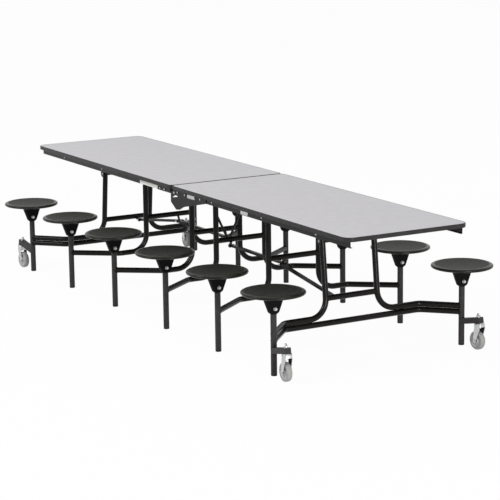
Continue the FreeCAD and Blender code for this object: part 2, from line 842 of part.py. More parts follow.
def seat_bracket(frame, side):
    """A hollow skirt under the seat with two flat sides: it tapers down and closes on the post."""
    post = "dims.post_diameter / 2"
    top = "dims.bracket_top_diameter / 2"
    bottom = "dims.bracket_bottom_diameter / 2"
    height = "dims.bracket_height"
    wall = "dims.bracket_wall"
    flat = "dims.bracket_flat"
    knee = f"-{height} + dims.bracket_chamfer"
    outside = turned([
        ("0", "0"),
        (top, "0"),
        (bottom, knee),
        (f"{post} + dims.bracket_lip", f"-{height}"),
        ("0", f"-{height}"),
    ])
    inside = turned([
        ("0", f"-{wall}"),
        (f"{top} - {wall}", f"-{wall}"),
        (f"{bottom} - {wall}", knee),
        (post, f"{wall} - {height}"),
        ("0", f"{wall} - {height}"),
    ])
    skirt = cut(
        flattened(outside, flat, top, height),
        flattened(inside, f"{flat} - {wall}", top, height),
        cylinder("dims.post_diameter", height, ("0", "0", f"-{height}")),
    )
    x, y = stool_spot(frame, side)
    return place(skirt, (x, y, "places.seat_underside"))


def seat(frame, side):
    """A turned profile: a shallow dished top, a round rim and a side that tucks in to a flat underside."""
    radius = "places.seat_radius"
    rim = "dims.seat_rim_radius"
    low = "-dims.seat_thickness"
    dish_edge = f"{radius} - {rim}"
    dish_radius = f"(({dish_edge})^2 + dims.seat_dish^2) / (2 * dims.seat_dish)"
    marks = [("0", "-dims.seat_dish"), (dish_edge, "0"), (radius, f"-{rim}"),
             (f"{radius} - dims.seat_tuck", low), ("0", low)]
    spots = [spot(x, z, "0") for x, z in marks]
    body = doc.addObject("PartDesign::Body", "seat")
    sketch = new_sketch(body, "XZ_Plane")
    quarter = number(rim) * 0.5 ** 0.5
    dish_middle = V(spots[1].x / 2, spots[0].y + number("dims.seat_dish") / 4, 0)
    rim_middle = V(spots[1].x + quarter, spots[2].y + quarter, 0)
    sketch.addGeometry(Part.Arc(spots[0], dish_middle, spots[1]))
    sketch.addGeometry(Part.Arc(spots[1], rim_middle, spots[2]))
    for start, end in ((2, 3), (3, 4), (4, 0)):
        sketch.addGeometry(Part.LineSegment(spots[start], spots[end]))
    # Arcs run anticlockwise, so the dish starts at the middle and the rim at its outermost point
    joins = [(0, 2, 1, 2), (1, 1, 2, 1), (2, 2, 3, 1), (3, 2, 4, 1), (4, 2, 0, 1)]
    for join in joins:
        sketch.addConstraint(Sketcher.Constraint("Coincident", *join))
    for edge, mark in ((0, 0), (2, 2), (3, 3), (4, 4)):
        tie_point(sketch, edge, 1, *marks[mark])
    tie_point(sketch, 0, 2, *marks[1])
    tie(sketch, "Radius", 0, formula=dish_radius)
    tie(sketch, "Radius", 1, formula=rim)
    revolve(body, sketch, "V_Axis")
    x, y = stool_spot(frame, side)
    return place(body, (x, y, "dims.seat_height"))


# Casters: drawn about the stem, with Z along it and X outwards along the arm
def caster_place(side):
    y = f"{side} * (dims.stool_y + dims.caster_splay)"
    stem = spot("dims.end_stool_x + dims.caster_reach", y, "places.stem_z")
    splay = math.atan2(side * number("dims.caster_splay"), number("dims.caster_reach"))
    slope = math.asin(number("places.arm_sin"))
    outwards = FreeCAD.Rotation(V(0, 0, 1), math.degrees(splay))
    return FreeCAD.Placement(stem, outwards * FreeCAD.Rotation(V(0, 1, 0), -math.degrees(slope)))


def caster_arm(side):
    """A channel, open below and closed at its outer end, that rises from the post to the stem."""
    length = "places.arm_slope_length + dims.caster_arm_end"
    width, height, wall = "dims.caster_arm_width", "dims.caster_arm_height", "dims.caster_arm_wall"
    start = "-places.arm_slope_length"
    low = f"-{height} / 2"
    outside = box((length, width, height), (start, f"-{width} / 2", low))
    hollow = (f"{length} - {wall}", f"{width} - 2 * {wall}", f"{height} - {wall}")
    inside = box(hollow, (start, f"{wall} - {width} / 2", low))
    stem_hole = cylinder("dims.stem_diameter", height, ("0", "0", low))
    channel = cut(outside, inside, stem_hole)
    channel.Placement = caster_place(side)
    x, y = stool_spot("end", side)
    return cut(channel, cylinder("dims.post_diameter", "places.seat_underside", (x, y, "0")))


def caster_stem(side):
    """The bolt that the fork turns on: a head under the crown and a nut over the arm."""
    low = "places.crown_bottom - dims.crown_gap"
    high = "dims.caster_arm_height / 2"
    head_height = "dims.stem_head_height"
    shank = cylinder("dims.stem_diameter", f"{high} - ({low}) + {head_height}", ("0", "0", low))
    head = cylinder("dims.stem_head_diameter", head_height, ("0", "0", f"{low} - {head_height}"))
    nut = doc.addObject("Part::Prism", "nut")
    nut.Polygon = 6
    nut.setExpression("Circumradius", "dims.stem_head_diameter / 2")
    nut.setExpression("Height", head_height)
    place(nut, ("0", "0", high))
    stem = fuse(shank, head, nut)
    stem.Placement = caster_place(side)
    return stem


def caster_fork(side):
    """A round crown with two cheeks that reach down to the axle."""
    low = ("0", "0", "places.crown_bottom")
    bore = cylinder("dims.stem_diameter + 2 * dims.stem_clearance", "dims.crown_height", low)
    crown = cylinder("dims.crown_diameter", "dims.crown_height", low)
    eye_x, eye_z, eye = "-dims.wheel_trail", "-places.axle_drop", "dims.fork_eye_radius"
    corners = [("-dims.fork_neck", "places.crown_top"), (f"{eye_x} - {eye}", eye_z),
               (f"{eye_x} + {eye}", eye_z), ("dims.fork_neck", "places.crown_top")]
    cheeks = []
    for lean in SIDES.values():
        face = f"{lean} * places.fork_inside"
        eyelet = (eye_x, eye_z, eye)
        cheeks.append(plate(corners, "dims.fork_wall", face, lean, eyelet, "dims.axle_diameter"))
    fork = cut(fuse(crown, *cheeks), bore)
    fork.Placement = caster_place(side)
    return fork


def caster_axle(side):
    """A pin through both cheeks, with a head outside each."""
    inside = number("places.fork_inside + dims.fork_wall")
    outside = inside + number("dims.axle_head")
    centre = spot("-dims.wheel_trail", "0", "-places.axle_drop")
    bars = []
    for diameter, low, high in (
        ("dims.axle_diameter", -outside, outside),
        ("dims.axle_head_diameter", -outside, -inside),
        ("dims.axle_head_diameter", inside, outside),
    ):
        ends = [caster_place(side).multVec(centre + V(0, y, 0)) for y in (low, high)]
        bars.append(slanted_cylinder(diameter, *ends))
    return fuse(*bars)


def caster_wheel(side):
    """A turned wheel: hub, thin web, rim and a bevelled tread."""
    half = "dims.wheel_width / 2"
    web = "dims.wheel_web_width / 2"
    bore = "dims.axle_diameter / 2 + dims.axle_clearance"
    hub = "dims.wheel_hub_diameter / 2"
    rim = "dims.wheel_rim_diameter / 2"
    tread = "dims.wheel_diameter / 2"
    bevel = "dims.wheel_tread_bevel"
    one_side = [(half, bore), (half, hub), (web, hub), (web, rim), (half, rim),
                (half, f"{tread} - {bevel}"), (f"{half} - {bevel}", tread)]
    other_side = [(f"-({across})", radius) for across, radius in reversed(one_side)]
    body = doc.addObject("PartDesign::Body", "wheel")
    sketch = new_sketch(body, "YZ_Plane")
    polygon(sketch, one_side + other_side)
    revolve(body, sketch, "H_Axis")
    centre = spot("-dims.wheel_trail", "0", "-places.axle_drop")
    body.Placement = caster_place(side) * FreeCAD.Placement(centre, FreeCAD.Rotation())
    return body


# The nodes
sides = SIDES.values()
node("top_panel", top_panel())
node("edge_band", edge_band())
node("aprons", *[apron(side) for side in sides])
node("hinge_plates", gusset_plate(), splice_plate(), *[hinge_leaf(side) for side in sides])
node("pivot_rods", *[pivot_rod(frame) for frame in FRAMES])
node("hangers", *[hanger(frame, side) for frame in FRAMES for side in sides])
group("hinge_pins", [hinge_pin(side) for side in sides], HALVES["right"])
group("right_v_brace", v_brace("inner"), HALVES["right"])
for frame in FRAMES:
    node(f"{frame}_leg_tubes", *[leg_tube(frame, side) for side in sides])
    node(f"{frame}_cross_members", crossbar(frame), pivot_tube(frame), link_lug(frame))
    node(f"{frame}_stool_posts", *[make(frame, side) for side in sides for make in (stool_post, glide)])
    node(f"{frame}_seat_brackets", *[seat_bracket(frame, side) for side in sides])
    node(f"{frame}_seats", *[seat(frame, side) for side in sides])
node("end_bottom_rail", bottom_rail())
node("outer_link", *outer_link())
node("inner_link", *inner_link())
node("caster_arms", *[make(side) for side in sides for make in (caster_arm, caster_stem)])
for half, turn in HALVES.items():
    for name, side in SIDES.items():
        drawn_side = side if half == "right" else -side
        group(f"{half}_{name}_caster_fork", [caster_fork(drawn_side), caster_axle(drawn_side)], turn)
        group(f"{half}_{name}_caster_wheel", [caster_wheel(drawn_side)], turn)

# Every object has to be sound before anything is written
doc.recompute()
for item in doc.Objects:
    if "Invalid" in item.State or "Error" in item.State:
        raise RuntimeError(f"{item.Name} ({item.Label}) failed: {item.State}")
for subpart in subparts:
    if subpart.Shape.isNull() or not subpart.Shape.isValid() or not subpart.Shape.Solids:
        raise RuntimeError(f"{subpart.Label} has no sound solid")

os.makedirs("parts", exist_ok=True)
for subpart in subparts:
    subpart.Shape.exportStep(f"parts/{subpart.Label}.step")
    print(subpart.Label, len(subpart.Shape.Solids), "solids,", round(subpart.Shape.Volume / 1000), "cm3")
print(len(subparts), "nodes")
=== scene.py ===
# %% [markdown]
# Dressing a folding cafeteria table: a long laminate top in two halves, on bent-tube frames that carry
# twelve round stools. The solids arrive as a fixed frame, each riding on the body it moves with. We load
# that frame first, because everything below is placed against it.

# %% Load the frame
import json
import math

import bmesh
import bpy
import numpy as np
from mathutils import Matrix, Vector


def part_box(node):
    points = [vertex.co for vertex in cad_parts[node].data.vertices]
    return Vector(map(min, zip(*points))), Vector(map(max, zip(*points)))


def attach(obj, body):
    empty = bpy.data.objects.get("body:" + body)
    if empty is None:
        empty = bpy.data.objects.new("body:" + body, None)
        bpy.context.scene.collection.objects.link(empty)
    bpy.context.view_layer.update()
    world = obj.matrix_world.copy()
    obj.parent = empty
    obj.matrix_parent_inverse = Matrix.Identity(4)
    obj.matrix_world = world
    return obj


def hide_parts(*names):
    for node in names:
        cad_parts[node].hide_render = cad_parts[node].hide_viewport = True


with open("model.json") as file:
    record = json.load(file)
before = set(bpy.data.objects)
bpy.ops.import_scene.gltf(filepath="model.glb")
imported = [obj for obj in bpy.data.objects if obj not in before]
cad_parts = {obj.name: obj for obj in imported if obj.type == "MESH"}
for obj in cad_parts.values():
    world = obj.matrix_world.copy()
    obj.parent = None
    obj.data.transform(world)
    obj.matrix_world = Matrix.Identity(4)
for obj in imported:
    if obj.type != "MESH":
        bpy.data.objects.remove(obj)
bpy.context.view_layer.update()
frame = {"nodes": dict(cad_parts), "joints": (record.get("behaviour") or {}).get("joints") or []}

# %% [markdown]
# The pieces below are written in millimetres, as a workshop would. Sizes and places are read from the
# solids' boxes and from the joints wherever the frame knows them.

# %% Measures from the frame
MM = 0.001
HALVES = ("right", "left")
SIDES = {"near": -1, "far": 1}
JOINTS = {joint["name"]: joint for joint in frame["joints"]}


def solid_box(name):
    """A solid's lowest and highest corners, in millimetres."""
    low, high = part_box(name)
    return np.array(low) / MM, np.array(high) / MM


def joint_place(name):
    """Where a joint is, in millimetres."""
    return np.array(JOINTS[name]["pos_m"]) / MM


print("centre hinge at height", round(joint_place("centre_hinge")[2], 1), "mm")

# %% [markdown]
# Every new piece is a surface: a grid of points that depends on two parameters. A cup is a profile
# turned about an axis, a moulding is a profile carried along an outline. numpy works out all the
# points of a grid at once, and neighbouring points become the corners of a face. Where a grid's
# first and last points meet, merging doubles closes the seam or the pole.

# %% Grids to meshes
# Points closer than this many metres are one point.
MERGE_DISTANCE = 2e-6


def cell_corners(rows, columns):
    """Point numbers of the four corners of every cell of a grid: each cell goes from its own row and
    column to the next row and the next column."""
    row, column = np.meshgrid(np.arange(rows - 1), np.arange(columns - 1), indexing="ij")
    first = row * columns + column
    return np.stack([first, first + 1, first + columns + 1, first + columns], -1).reshape(-1, 4)


def fill_mesh(mesh, grids):
    """Puts several grids of points, in millimetres, into one mesh in metres."""
    points, faces, used = [], [], 0
    for grid in grids:
        rows, columns = grid.shape[:2]
        points.append(grid.reshape(-1, 3) * MM)
        faces.append(cell_corners(rows, columns) + used)
        used += rows * columns
    points, faces = np.concatenate(points), np.concatenate(faces)
    mesh.vertices.add(len(points))
    mesh.vertices.foreach_set("co", points.astype(np.float32).ravel())
    mesh.loops.add(faces.size)
    mesh.loops.foreach_set("vertex_index", faces.astype(np.int32).ravel())
    mesh.polygons.add(len(faces))
    mesh.polygons.foreach_set("loop_start", np.arange(0, faces.size, 4, dtype=np.int32))
    mesh.update(calc_edges=True)


def close_and_smooth(mesh, crease):
    """Merges doubled points, so that seams and poles close, turns faces outwards and shades them
    smooth except over edges sharper than the crease angle."""
    work = bmesh.new()
    work.from_mesh(mesh)
    bmesh.ops.remove_doubles(work, verts=work.verts, dist=MERGE_DISTANCE)
    bmesh.ops.recalc_face_normals(work, faces=work.faces)
    work.to_mesh(mesh)
    work.free()
    mesh.polygons.foreach_set("use_smooth", np.ones(len(mesh.polygons), dtype=bool))
    mesh.set_sharp_from_angle(angle=math.radians(crease))


def make_piece(name, grids, body, finish, replaces=(), crease=40):
    """One piece of the table from its grids: it rides on a body and may stand for solids."""
    mesh = bpy.data.meshes.new(name)
    fill_mesh(mesh, grids)
    close_and_smooth(mesh, crease)
    mesh.materials.append(finish)
    piece = bpy.data.objects.new(name, mesh)
    bpy.context.scene.collection.objects.link(piece)
    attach(piece, body)
    if replaces:
        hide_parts(*replaces)


print("corners of the one cell of a two by two grid:", cell_corners(2, 2)[0])

# %% [markdown]
# Two kinds of surface make almost everything here. A turned piece takes a profile of radius and
# height once round an axis, the way a lathe does. A hexagonal head is the same thing with a radius
# that rises and falls six times per turn. A helper then stands the piece up: it turns the height
# axis to any direction and moves it into place.

# %% Turned pieces
def full_turn(steps):
    """Angles once round. The last is the first again, so that the points of the seam fall together."""
    turn = np.linspace(0, 2 * np.pi, steps + 1)
    turn[-1] = 0
    return turn


def turned(profile, steps):
    """Points of a profile turned about Z: radius times the cosine and sine of the turn, and height."""
    radius, height = np.array(profile, float).T
    turn = full_turn(steps)
    x = radius[:, None] * np.cos(turn)
    y = radius[:, None] * np.sin(turn)
    return np.stack([x, y, np.broadcast_to(height[:, None], x.shape)], -1)


def six_sided(across_flats, height):
    """A bolt head: the radius is the flat's distance over the cosine of the angle to the nearest flat,
    and the top edge is rounded off to a circle."""
    circle_share, shoulder_share = 0.94, 0.82
    turn = full_turn(36)
    to_flat = (turn + np.pi / 6) % (np.pi / 3) - np.pi / 6
    flat = across_flats / 2
    corner = flat / np.cos(to_flat)
    rounded = np.full_like(turn, flat * circle_share)
    rings = np.stack([turn * 0, corner, corner, rounded, turn * 0])
    levels = np.array([0, 0, height * shoulder_share, height, height])
    x, y = rings * np.cos(turn), rings * np.sin(turn)
    return np.stack([x, y, np.broadcast_to(levels[:, None], x.shape)], -1)


def stood(grid, place, axis):
    """Turns a grid's Z axis to a direction, then moves its origin to a place."""
    up = np.array(axis, float) / np.linalg.norm(axis)
    helper = np.array([1.0, 0, 0]) if abs(up[0]) < 0.9 else np.array([0, 1.0, 0])
    side = np.cross(helper, up)
    side /= np.linalg.norm(side)
    return grid @ np.stack([side, np.cross(up, side), up]) + np.array(place, float)


def half_turned(grid, half):
    """The left half of the table is the right half turned half a turn about Z."""
    return grid if half == "right" else grid * np.array([-1, -1, 1])


print("rings, points per ring and coordinates of a bolt head:", six_sided(1, 1).shape)

# %% [markdown]
# Finishes come next. Colours are written as they look on a screen and turned to linear light here,
# because shaders work in linear light. One small function adds a shader node with its settings and
# links, and each finish below is a short chain of such nodes on Object coordinates, so that the
# grain stays fixed to the piece when it moves. Object coordinates are in metres, so a pattern whose
# grains are some millimetres wide needs a scale of 1000 over that width.

# %% Colours and nodes
def linear(code):
    """A colour code of red, green and blue, from screen values to linear light."""
    screen = np.array([int(code[index:index + 2], 16) for index in (1, 3, 5)]) / 255
    light = np.where(screen <= 0.04045, screen / 12.92, ((screen + 0.055) / 1.055) ** 2.4)
    return (*light.tolist(), 1.0)


def add(tree, kind, inputs=None, **settings):
    """Adds one node to a tree, with its settings, and sets or links its inputs."""
    new = tree.nodes.new(kind)
    for name, value in settings.items():
        setattr(new, name, value)
    for name, value in (inputs or {}).items():
        if isinstance(value, bpy.types.NodeSocket):
            tree.links.new(value, new.inputs[name])
        else:
            new.inputs[name].default_value = value
    return new


def per_metre(width):
    """The scale of a pattern whose grains are this many millimetres wide."""
    return 1000 / width


def blank_finish(name):
    """A new material, its node tree and its shader."""
    material = bpy.data.materials.new(name)
    material.use_nodes = True
    tree = material.node_tree
    return material, tree, tree.nodes["Principled BSDF"]


print("half of full screen brightness is", round(linear("#808080")[0], 3), "in linear light")

# %% [markdown]
# Painted, plated and moulded surfaces differ in their numbers, but share three traits: the colour
# clouds a little, the gloss wanders with it, and the surface has a fine relief. So one function makes
# them all from two colours, a range of roughness, and two widths in millimetres.

# %% Grained finishes
GRAIN_SPREAD = (0.35, 0.65)


def grained_finish(name, dark, pale, grain, roughness, bump_width, bump_height, **shader):
    """Colour goes from dark to pale where a noise rises through the spread, roughness follows the same
    noise between its two values, and a finer noise lifts the surface by the bump's height."""
    material, tree, surface = blank_finish(name)
    place = add(tree, "ShaderNodeTexCoord").outputs["Object"]
    cloud = add(tree, "ShaderNodeTexNoise", {"Vector": place, "Scale": per_metre(grain), "Detail": 6})
    ramp = add(tree, "ShaderNodeValToRGB", {"Fac": cloud.outputs["Fac"]})
    for stop, position, code in zip(ramp.color_ramp.elements, GRAIN_SPREAD, (dark, pale)):
        stop.position = position
        stop.color = linear(code)
    low, high = roughness
    spread = add(
        tree, "ShaderNodeMapRange", {"Value": cloud.outputs["Fac"], "To Min": low, "To Max": high})
    relief = add(
        tree, "ShaderNodeTexNoise", {"Vector": place, "Scale": per_metre(bump_width), "Detail": 3})
    bump = add(
        tree, "ShaderNodeBump",
        {"Height": relief.outputs["Fac"], "Strength": 1.0, "Distance": bump_height * MM})
    tree.links.new(ramp.outputs["Color"], surface.inputs["Base Color"])
    tree.links.new(spread.outputs["Result"], surface.inputs["Roughness"])
    tree.links.new(bump.outputs["Normal"], surface.inputs["Normal"])
    for socket, value in shader.items():
        surface.inputs[socket.replace("_", " ")].default_value = value
    return material


print("grains one millimetre wide need a noise scale of", per_metre(1))

# %% [markdown]
# Most of the table is black, but not the same black. The frame is powder coat, baked from sprayed
# powder, which leaves a fine orange peel and a satin gloss. The seats are moulded plastic, pebbled by
# the mould on top and polished round the rim. The edge of the table top is extruded PVC moulding.
# Grains under a millimetre are too fine for the picture, so they are drawn coarse enough to show.

# %% Black finishes
# Satin powder coat: near black, with narrow highlights along the tubes.
frame_paint = grained_finish(
    "powder_coat_black", "#0F0D0C", "#151211", grain=30, roughness=(0.16, 0.26),
    bump_width=1.6, bump_height=0.02, Specular_IOR_Level=0.14)
# A duller coat on the posts and caster arms: it reads as charcoal.
post_paint = grained_finish(
    "powder_coat_charcoal", "#333131", "#3A3838", grain=30, roughness=(0.38, 0.5),
    bump_width=1.6, bump_height=0.05, Specular_IOR_Level=0.1)
# A matt coat on the pressed skirts: almost no shine at all.
bracket_paint = grained_finish(
    "powder_coat_black_matt", "#0A0909", "#0F0E0D", grain=25, roughness=(0.45, 0.6),
    bump_width=1.6, bump_height=0.06, Specular_IOR_Level=0.06)
# Polypropylene from a pebbled mould: dull, with a broad faint sheen.
seat_plastic = grained_finish(
    "polypropylene_moulded_black", "#1D1E1A", "#242520", grain=40, roughness=(0.42, 0.52),
    bump_width=1.1, bump_height=0.05, Specular_IOR_Level=0.06)
# Polypropylene from a polished mould: the rim catches a thin bright line.
rim_plastic = grained_finish(
    "polypropylene_polished_black", "#1B1C17", "#22231E", grain=40, roughness=(0.2, 0.28),
    bump_width=1.4, bump_height=0.02, Specular_IOR_Level=0.14)
# Extruded PVC: smooth and even along its length, with a soft shine.
edge_plastic = grained_finish(
    "pvc_extruded_black", "#2C2A2B", "#343233", grain=60, roughness=(0.32, 0.40),
    bump_width=3.0, bump_height=0.02, Specular_IOR_Level=0.12)
# Moulded nylon: waxy and dull.
glide_plastic = grained_finish(
    "nylon_moulded_black", "#171716", "#1E1E1D", grain=12, roughness=(0.45, 0.55),
    bump_width=1.0, bump_height=0.03, Specular_IOR_Level=0.1)
black_finishes = (
    frame_paint, post_paint, bracket_paint, seat_plastic, rim_plastic, edge_plastic, glide_plastic)
print("black finishes:", [finish.name for finish in black_finishes])

# %% [markdown]
# The bright parts are zinc-plated steel: a bluish white metal with a slightly cloudy sheen where the
# plating bath left it. The wheels are grey thermoplastic rubber on a paler moulded core.

# %% Bright finishes
# Zinc plate: bright, cloudy metal.
zinc = grained_finish(
    "zinc_plated_steel", "#B4B5B6", "#CBCCCD", grain=9, roughness=(0.26, 0.4),
    bump_width=2.0, bump_height=0.02, Metallic=1.0)
# The same zinc made dark and dull with painted shade, for the inside of the forks: no longer a mirror.
painted_shade_zinc = grained_finish(
    "zinc_plated_steel_painted_shade", "#2A2B28", "#363733", grain=12, roughness=(0.5, 0.65),
    bump_width=2.0, bump_height=0.03, Specular_IOR_Level=0.1)
# Drawn steel rod: bare grey metal with an even shine.
bright_steel = grained_finish(
    "drawn_steel_bright", "#8E8E8D", "#A2A2A1", grain=14, roughness=(0.28, 0.4),
    bump_width=2.0, bump_height=0.02, Metallic=1.0)
# Thermoplastic rubber: mid grey and matt.
tyre = grained_finish(
    "thermoplastic_rubber_grey", "#929190", "#A09F9D", grain=10, roughness=(0.55, 0.68),
    bump_width=1.0, bump_height=0.05, Specular_IOR_Level=0.2)
# Moulded polypropylene: paler than the rubber and a little glossier.
wheel_core = grained_finish(
    "polypropylene_moulded_grey", "#9FA0A0", "#ADAEAE", grain=20, roughness=(0.38, 0.5),
    bump_width=1.4, bump_height=0.03, Specular_IOR_Level=0.3)
# Enamel baked on thin sheet: an even white with a soft gloss.
plate_paint = grained_finish(
    "enamel_white", "#DCDBD8", "#E6E5E2", grain=20, roughness=(0.3, 0.42),
    bump_width=3.0, bump_height=0.02)
bright_finishes = (zinc, painted_shade_zinc, bright_steel, tyre, wheel_core, plate_paint)
print("bright finishes:", [finish.name for finish in bright_finishes])

# %% [markdown]
# The top is high-pressure laminate: printed paper pressed with resin, here a pale grey with soft
# clouds a few centimetres wide and a fine fleck. Its underside is a plain brown backing sheet. Both
# belong to one solid, so the finish chooses between them by height, just above the underside.

# %% Laminate
top_low, top_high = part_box("right_top_panel")
CLOUD_WIDTH, CLOUD_SPREAD = 45, (0.36, 0.64)
FLECK_WIDTH, FLECK_START, FLECK_FULL, FLECK_SHARE = 3.0, 0.62, 0.72, 0.35
RELIEF_WIDTH, RELIEF_HEIGHT = 2.5, 0.015
SMOOTHEST, ROUGHEST = 0.42, 0.54
BACKING_SHEET = 1.5


def laminate():
    """Colour clouds between two greys where a wide noise rises through the spread. A share of a third
    grey is mixed in where a fine noise peaks. Below the backing sheet's height the colour is brown."""
    material, tree, surface = blank_finish("high_pressure_laminate_grey")
    place = add(tree, "ShaderNodeTexCoord").outputs["Object"]
    cloud = add(
        tree, "ShaderNodeTexNoise", {"Vector": place, "Scale": per_metre(CLOUD_WIDTH), "Detail": 5})
    clouds = add(tree, "ShaderNodeValToRGB", {"Fac": cloud.outputs["Fac"]})
    for stop, position, code in zip(clouds.color_ramp.elements, CLOUD_SPREAD, ("#C5C3C7", "#CBC9CC")):
        stop.position = position
        stop.color = linear(code)
    fleck = add(
        tree, "ShaderNodeTexNoise", {"Vector": place, "Scale": per_metre(FLECK_WIDTH), "Detail": 2})
    fleck_share = add(
        tree, "ShaderNodeMapRange",
        {"Value": fleck.outputs["Fac"], "From Min": FLECK_START, "From Max": FLECK_FULL,
         "To Max": FLECK_SHARE})
    flecked = add(
        tree, "ShaderNodeMixRGB",
        {"Fac": fleck_share.outputs["Result"], "Color1": clouds.outputs["Color"],
         "Color2": linear("#BBB9BD")})
    height = add(tree, "ShaderNodeSeparateXYZ", {"Vector": place}).outputs["Z"]
    face = add(
        tree, "ShaderNodeMath", {0: height, 1: top_low.z + BACKING_SHEET * MM}, operation="GREATER_THAN")
    both = add(
        tree, "ShaderNodeMixRGB",
        {"Fac": face.outputs["Value"], "Color1": linear("#5E564C"), "Color2": flecked.outputs["Color"]})
    spread = add(
        tree, "ShaderNodeMapRange",
        {"Value": cloud.outputs["Fac"], "To Min": SMOOTHEST, "To Max": ROUGHEST})
    relief = add(
        tree, "ShaderNodeTexNoise", {"Vector": place, "Scale": per_metre(RELIEF_WIDTH), "Detail": 2})
    bump = add(
        tree, "ShaderNodeBump",
        {"Height": relief.outputs["Fac"], "Strength": 1.0, "Distance": RELIEF_HEIGHT * MM})
    tree.links.new(both.outputs["Color"], surface.inputs["Base Color"])
    tree.links.new(spread.outputs["Result"], surface.inputs["Roughness"])
    tree.links.new(bump.outputs["Normal"], surface.inputs["Normal"])
    return material


top_laminate = laminate()
print("laminate from", round(top_low.z, 4), "to", round(top_high.z, 4), "m")

# %% [markdown]
# Solids whose shape is already right keep it and only change their finish: rails, tubes, links,
# pivots and plates. Each solid's name ends with what it is, and that ending picks its finish.

# %% Finishes of the solids
FINISH_OF = {
    "top_panel": top_laminate,
    "edge_band": edge_plastic,
    "aprons": frame_paint,
    "hinge_plates": frame_paint,
    "hangers": frame_paint,
    "pivot_rods": bright_steel,
    "hinge_pins": bright_steel,
    "leg_tubes": frame_paint,
    "cross_members": frame_paint,
    "bottom_rail": frame_paint,
    "v_brace": frame_paint,
    "link": frame_paint,
    "caster_arms": post_paint,
    "stool_posts": post_paint,
    "seat_brackets": bracket_paint,
    "seats": seat_plastic,
    "caster_fork": zinc,
    "caster_wheel": tyre,
}
for name, solid in frame["nodes"].items():
    finish = next(finish for ending, finish in FINISH_OF.items() if name.endswith(ending))
    solid.data.materials.clear()
    solid.data.materials.append(finish)
print("finishes given to", len(frame["nodes"]), "solids")

# %% [markdown]
# The edge moulding is a strip pushed on round each half of the top. Its outer face bulges a little
# and its two edges are rounded, which draws the thin dark line round the grey top. It could be
# bevelled from the solid, but carrying a superellipse round the outline gives an even bulge.

# %% Edge moulding
BAND_REACH = 3.0
LIP_WIDTH, LIP_RISE, NARROW_LIP = 5.0, 0.7, 0.2
OUTER_CORNER, SEAM_CORNER = 52.0, 30.0
(SEAM, _, TOP_UNDER), (HALF_LENGTH, HALF_WIDTH, TOP_OVER) = solid_box("right_edge_band")


def squared_up(wave, power):
    """A cosine or sine with its size to a power and its sign kept. A power below one squares a circle
    up into a superellipse."""
    return np.sign(wave) * np.abs(wave) ** power


def top_outline(inset):
    """A half top's outline as points and outward directions: four corner arcs, each the corner's
    centre plus its radius times the cosine and sine of a quarter turn, joined by straight sides."""
    arc_steps = 14
    x0, x1, y1 = SEAM + inset, HALF_LENGTH - inset, HALF_WIDTH - inset
    outer, seam = OUTER_CORNER - inset, SEAM_CORNER - inset
    centres = np.array([
        [x1 - outer, y1 - outer], [x0 + seam, y1 - seam],
        [x0 + seam, seam - y1], [x1 - outer, outer - y1]])
    radii = np.array([outer, seam, seam, outer])
    quarter = np.linspace(0, np.pi / 2, arc_steps)
    turn = quarter[None, :] + np.arange(4)[:, None] * np.pi / 2
    outward = np.stack([np.cos(turn), np.sin(turn)], -1)
    points = centres[:, None] + radii[:, None, None] * outward
    points, outward = points.reshape(-1, 2), outward.reshape(-1, 2)
    return np.concatenate([points, points[:1]]), np.concatenate([outward, outward[:1]])


def edge_moulding():
    """The profile is half a superellipse: reach times cosine to the power 2/5, half height times sine
    to the power 2/5. A flat lip goes on from its top over the laminate, narrow except along the seam,
    and a straight back closes it. It is carried round the outline."""
    points, outward = top_outline(BAND_REACH)
    turn = np.linspace(-np.pi / 2, np.pi / 2, 25)
    power = 2 / 5
    reach = BAND_REACH * squared_up(np.cos(turn), power)
    rise = (TOP_OVER - TOP_UNDER) / 2 * squared_up(np.sin(turn), power)
    lip = np.array([
        [-0.5, LIP_RISE], [0.8 - LIP_WIDTH, LIP_RISE], [-LIP_WIDTH, 0.1], [-LIP_WIDTH, -0.3], [0, -0.3]])
    reach = np.concatenate([reach, lip[:, 0], reach[:1]])
    rise = np.concatenate([rise, rise[-1] + lip[:, 1], rise[:1]])
    lip_share = NARROW_LIP + (1 - NARROW_LIP) * np.clip(-outward[:, :1], 0, 1)
    reach = np.where(reach < 0, reach * lip_share, reach)
    flat = points[:, None] + reach[..., None] * outward[:, None]
    height = np.broadcast_to((TOP_OVER + TOP_UNDER) / 2 + rise, flat.shape[:2])
    return np.concatenate([flat, height[..., None]], -1)


for half in HALVES:
    make_piece(
        f"{half}_edge_moulding", [half_turned(edge_moulding(), half)], f"{half}_top",
        edge_plastic, [f"{half}_edge_band"], crease=60)
print("edge mouldings:", len(HALVES), "reaching", HALF_LENGTH.round(1), "mm from the seam")

# %% [markdown]
# Each seat is a round plastic moulding: a shallow dish with a pebbled texture, then a soft line where a
# smooth rim begins, with a rounded nose and a small lip under it. A bevelled cylinder would give one even
# nose. A turned profile gives each of these its own curve. Dish and rim shine differently, so they are two
# turned profiles, one inside the other.

# %% Seats
seat_low, seat_high = solid_box("right_inner_seats")
SEAT_RADIUS = (seat_high[0] - seat_low[0]) / 2
SEAT_UNDER, SEAT_TOP = seat_low[2], seat_high[2]
RIM_START = 144.6
STOOL_X = {part: np.mean(solid_box(f"right_{part}_seats"), 0)[0] for part in ("inner", "mid", "end")}
STOOL_Y = seat_high[1] - SEAT_RADIUS
LEG_FRAMES = [(half, part) for half in HALVES for part in STOOL_X]


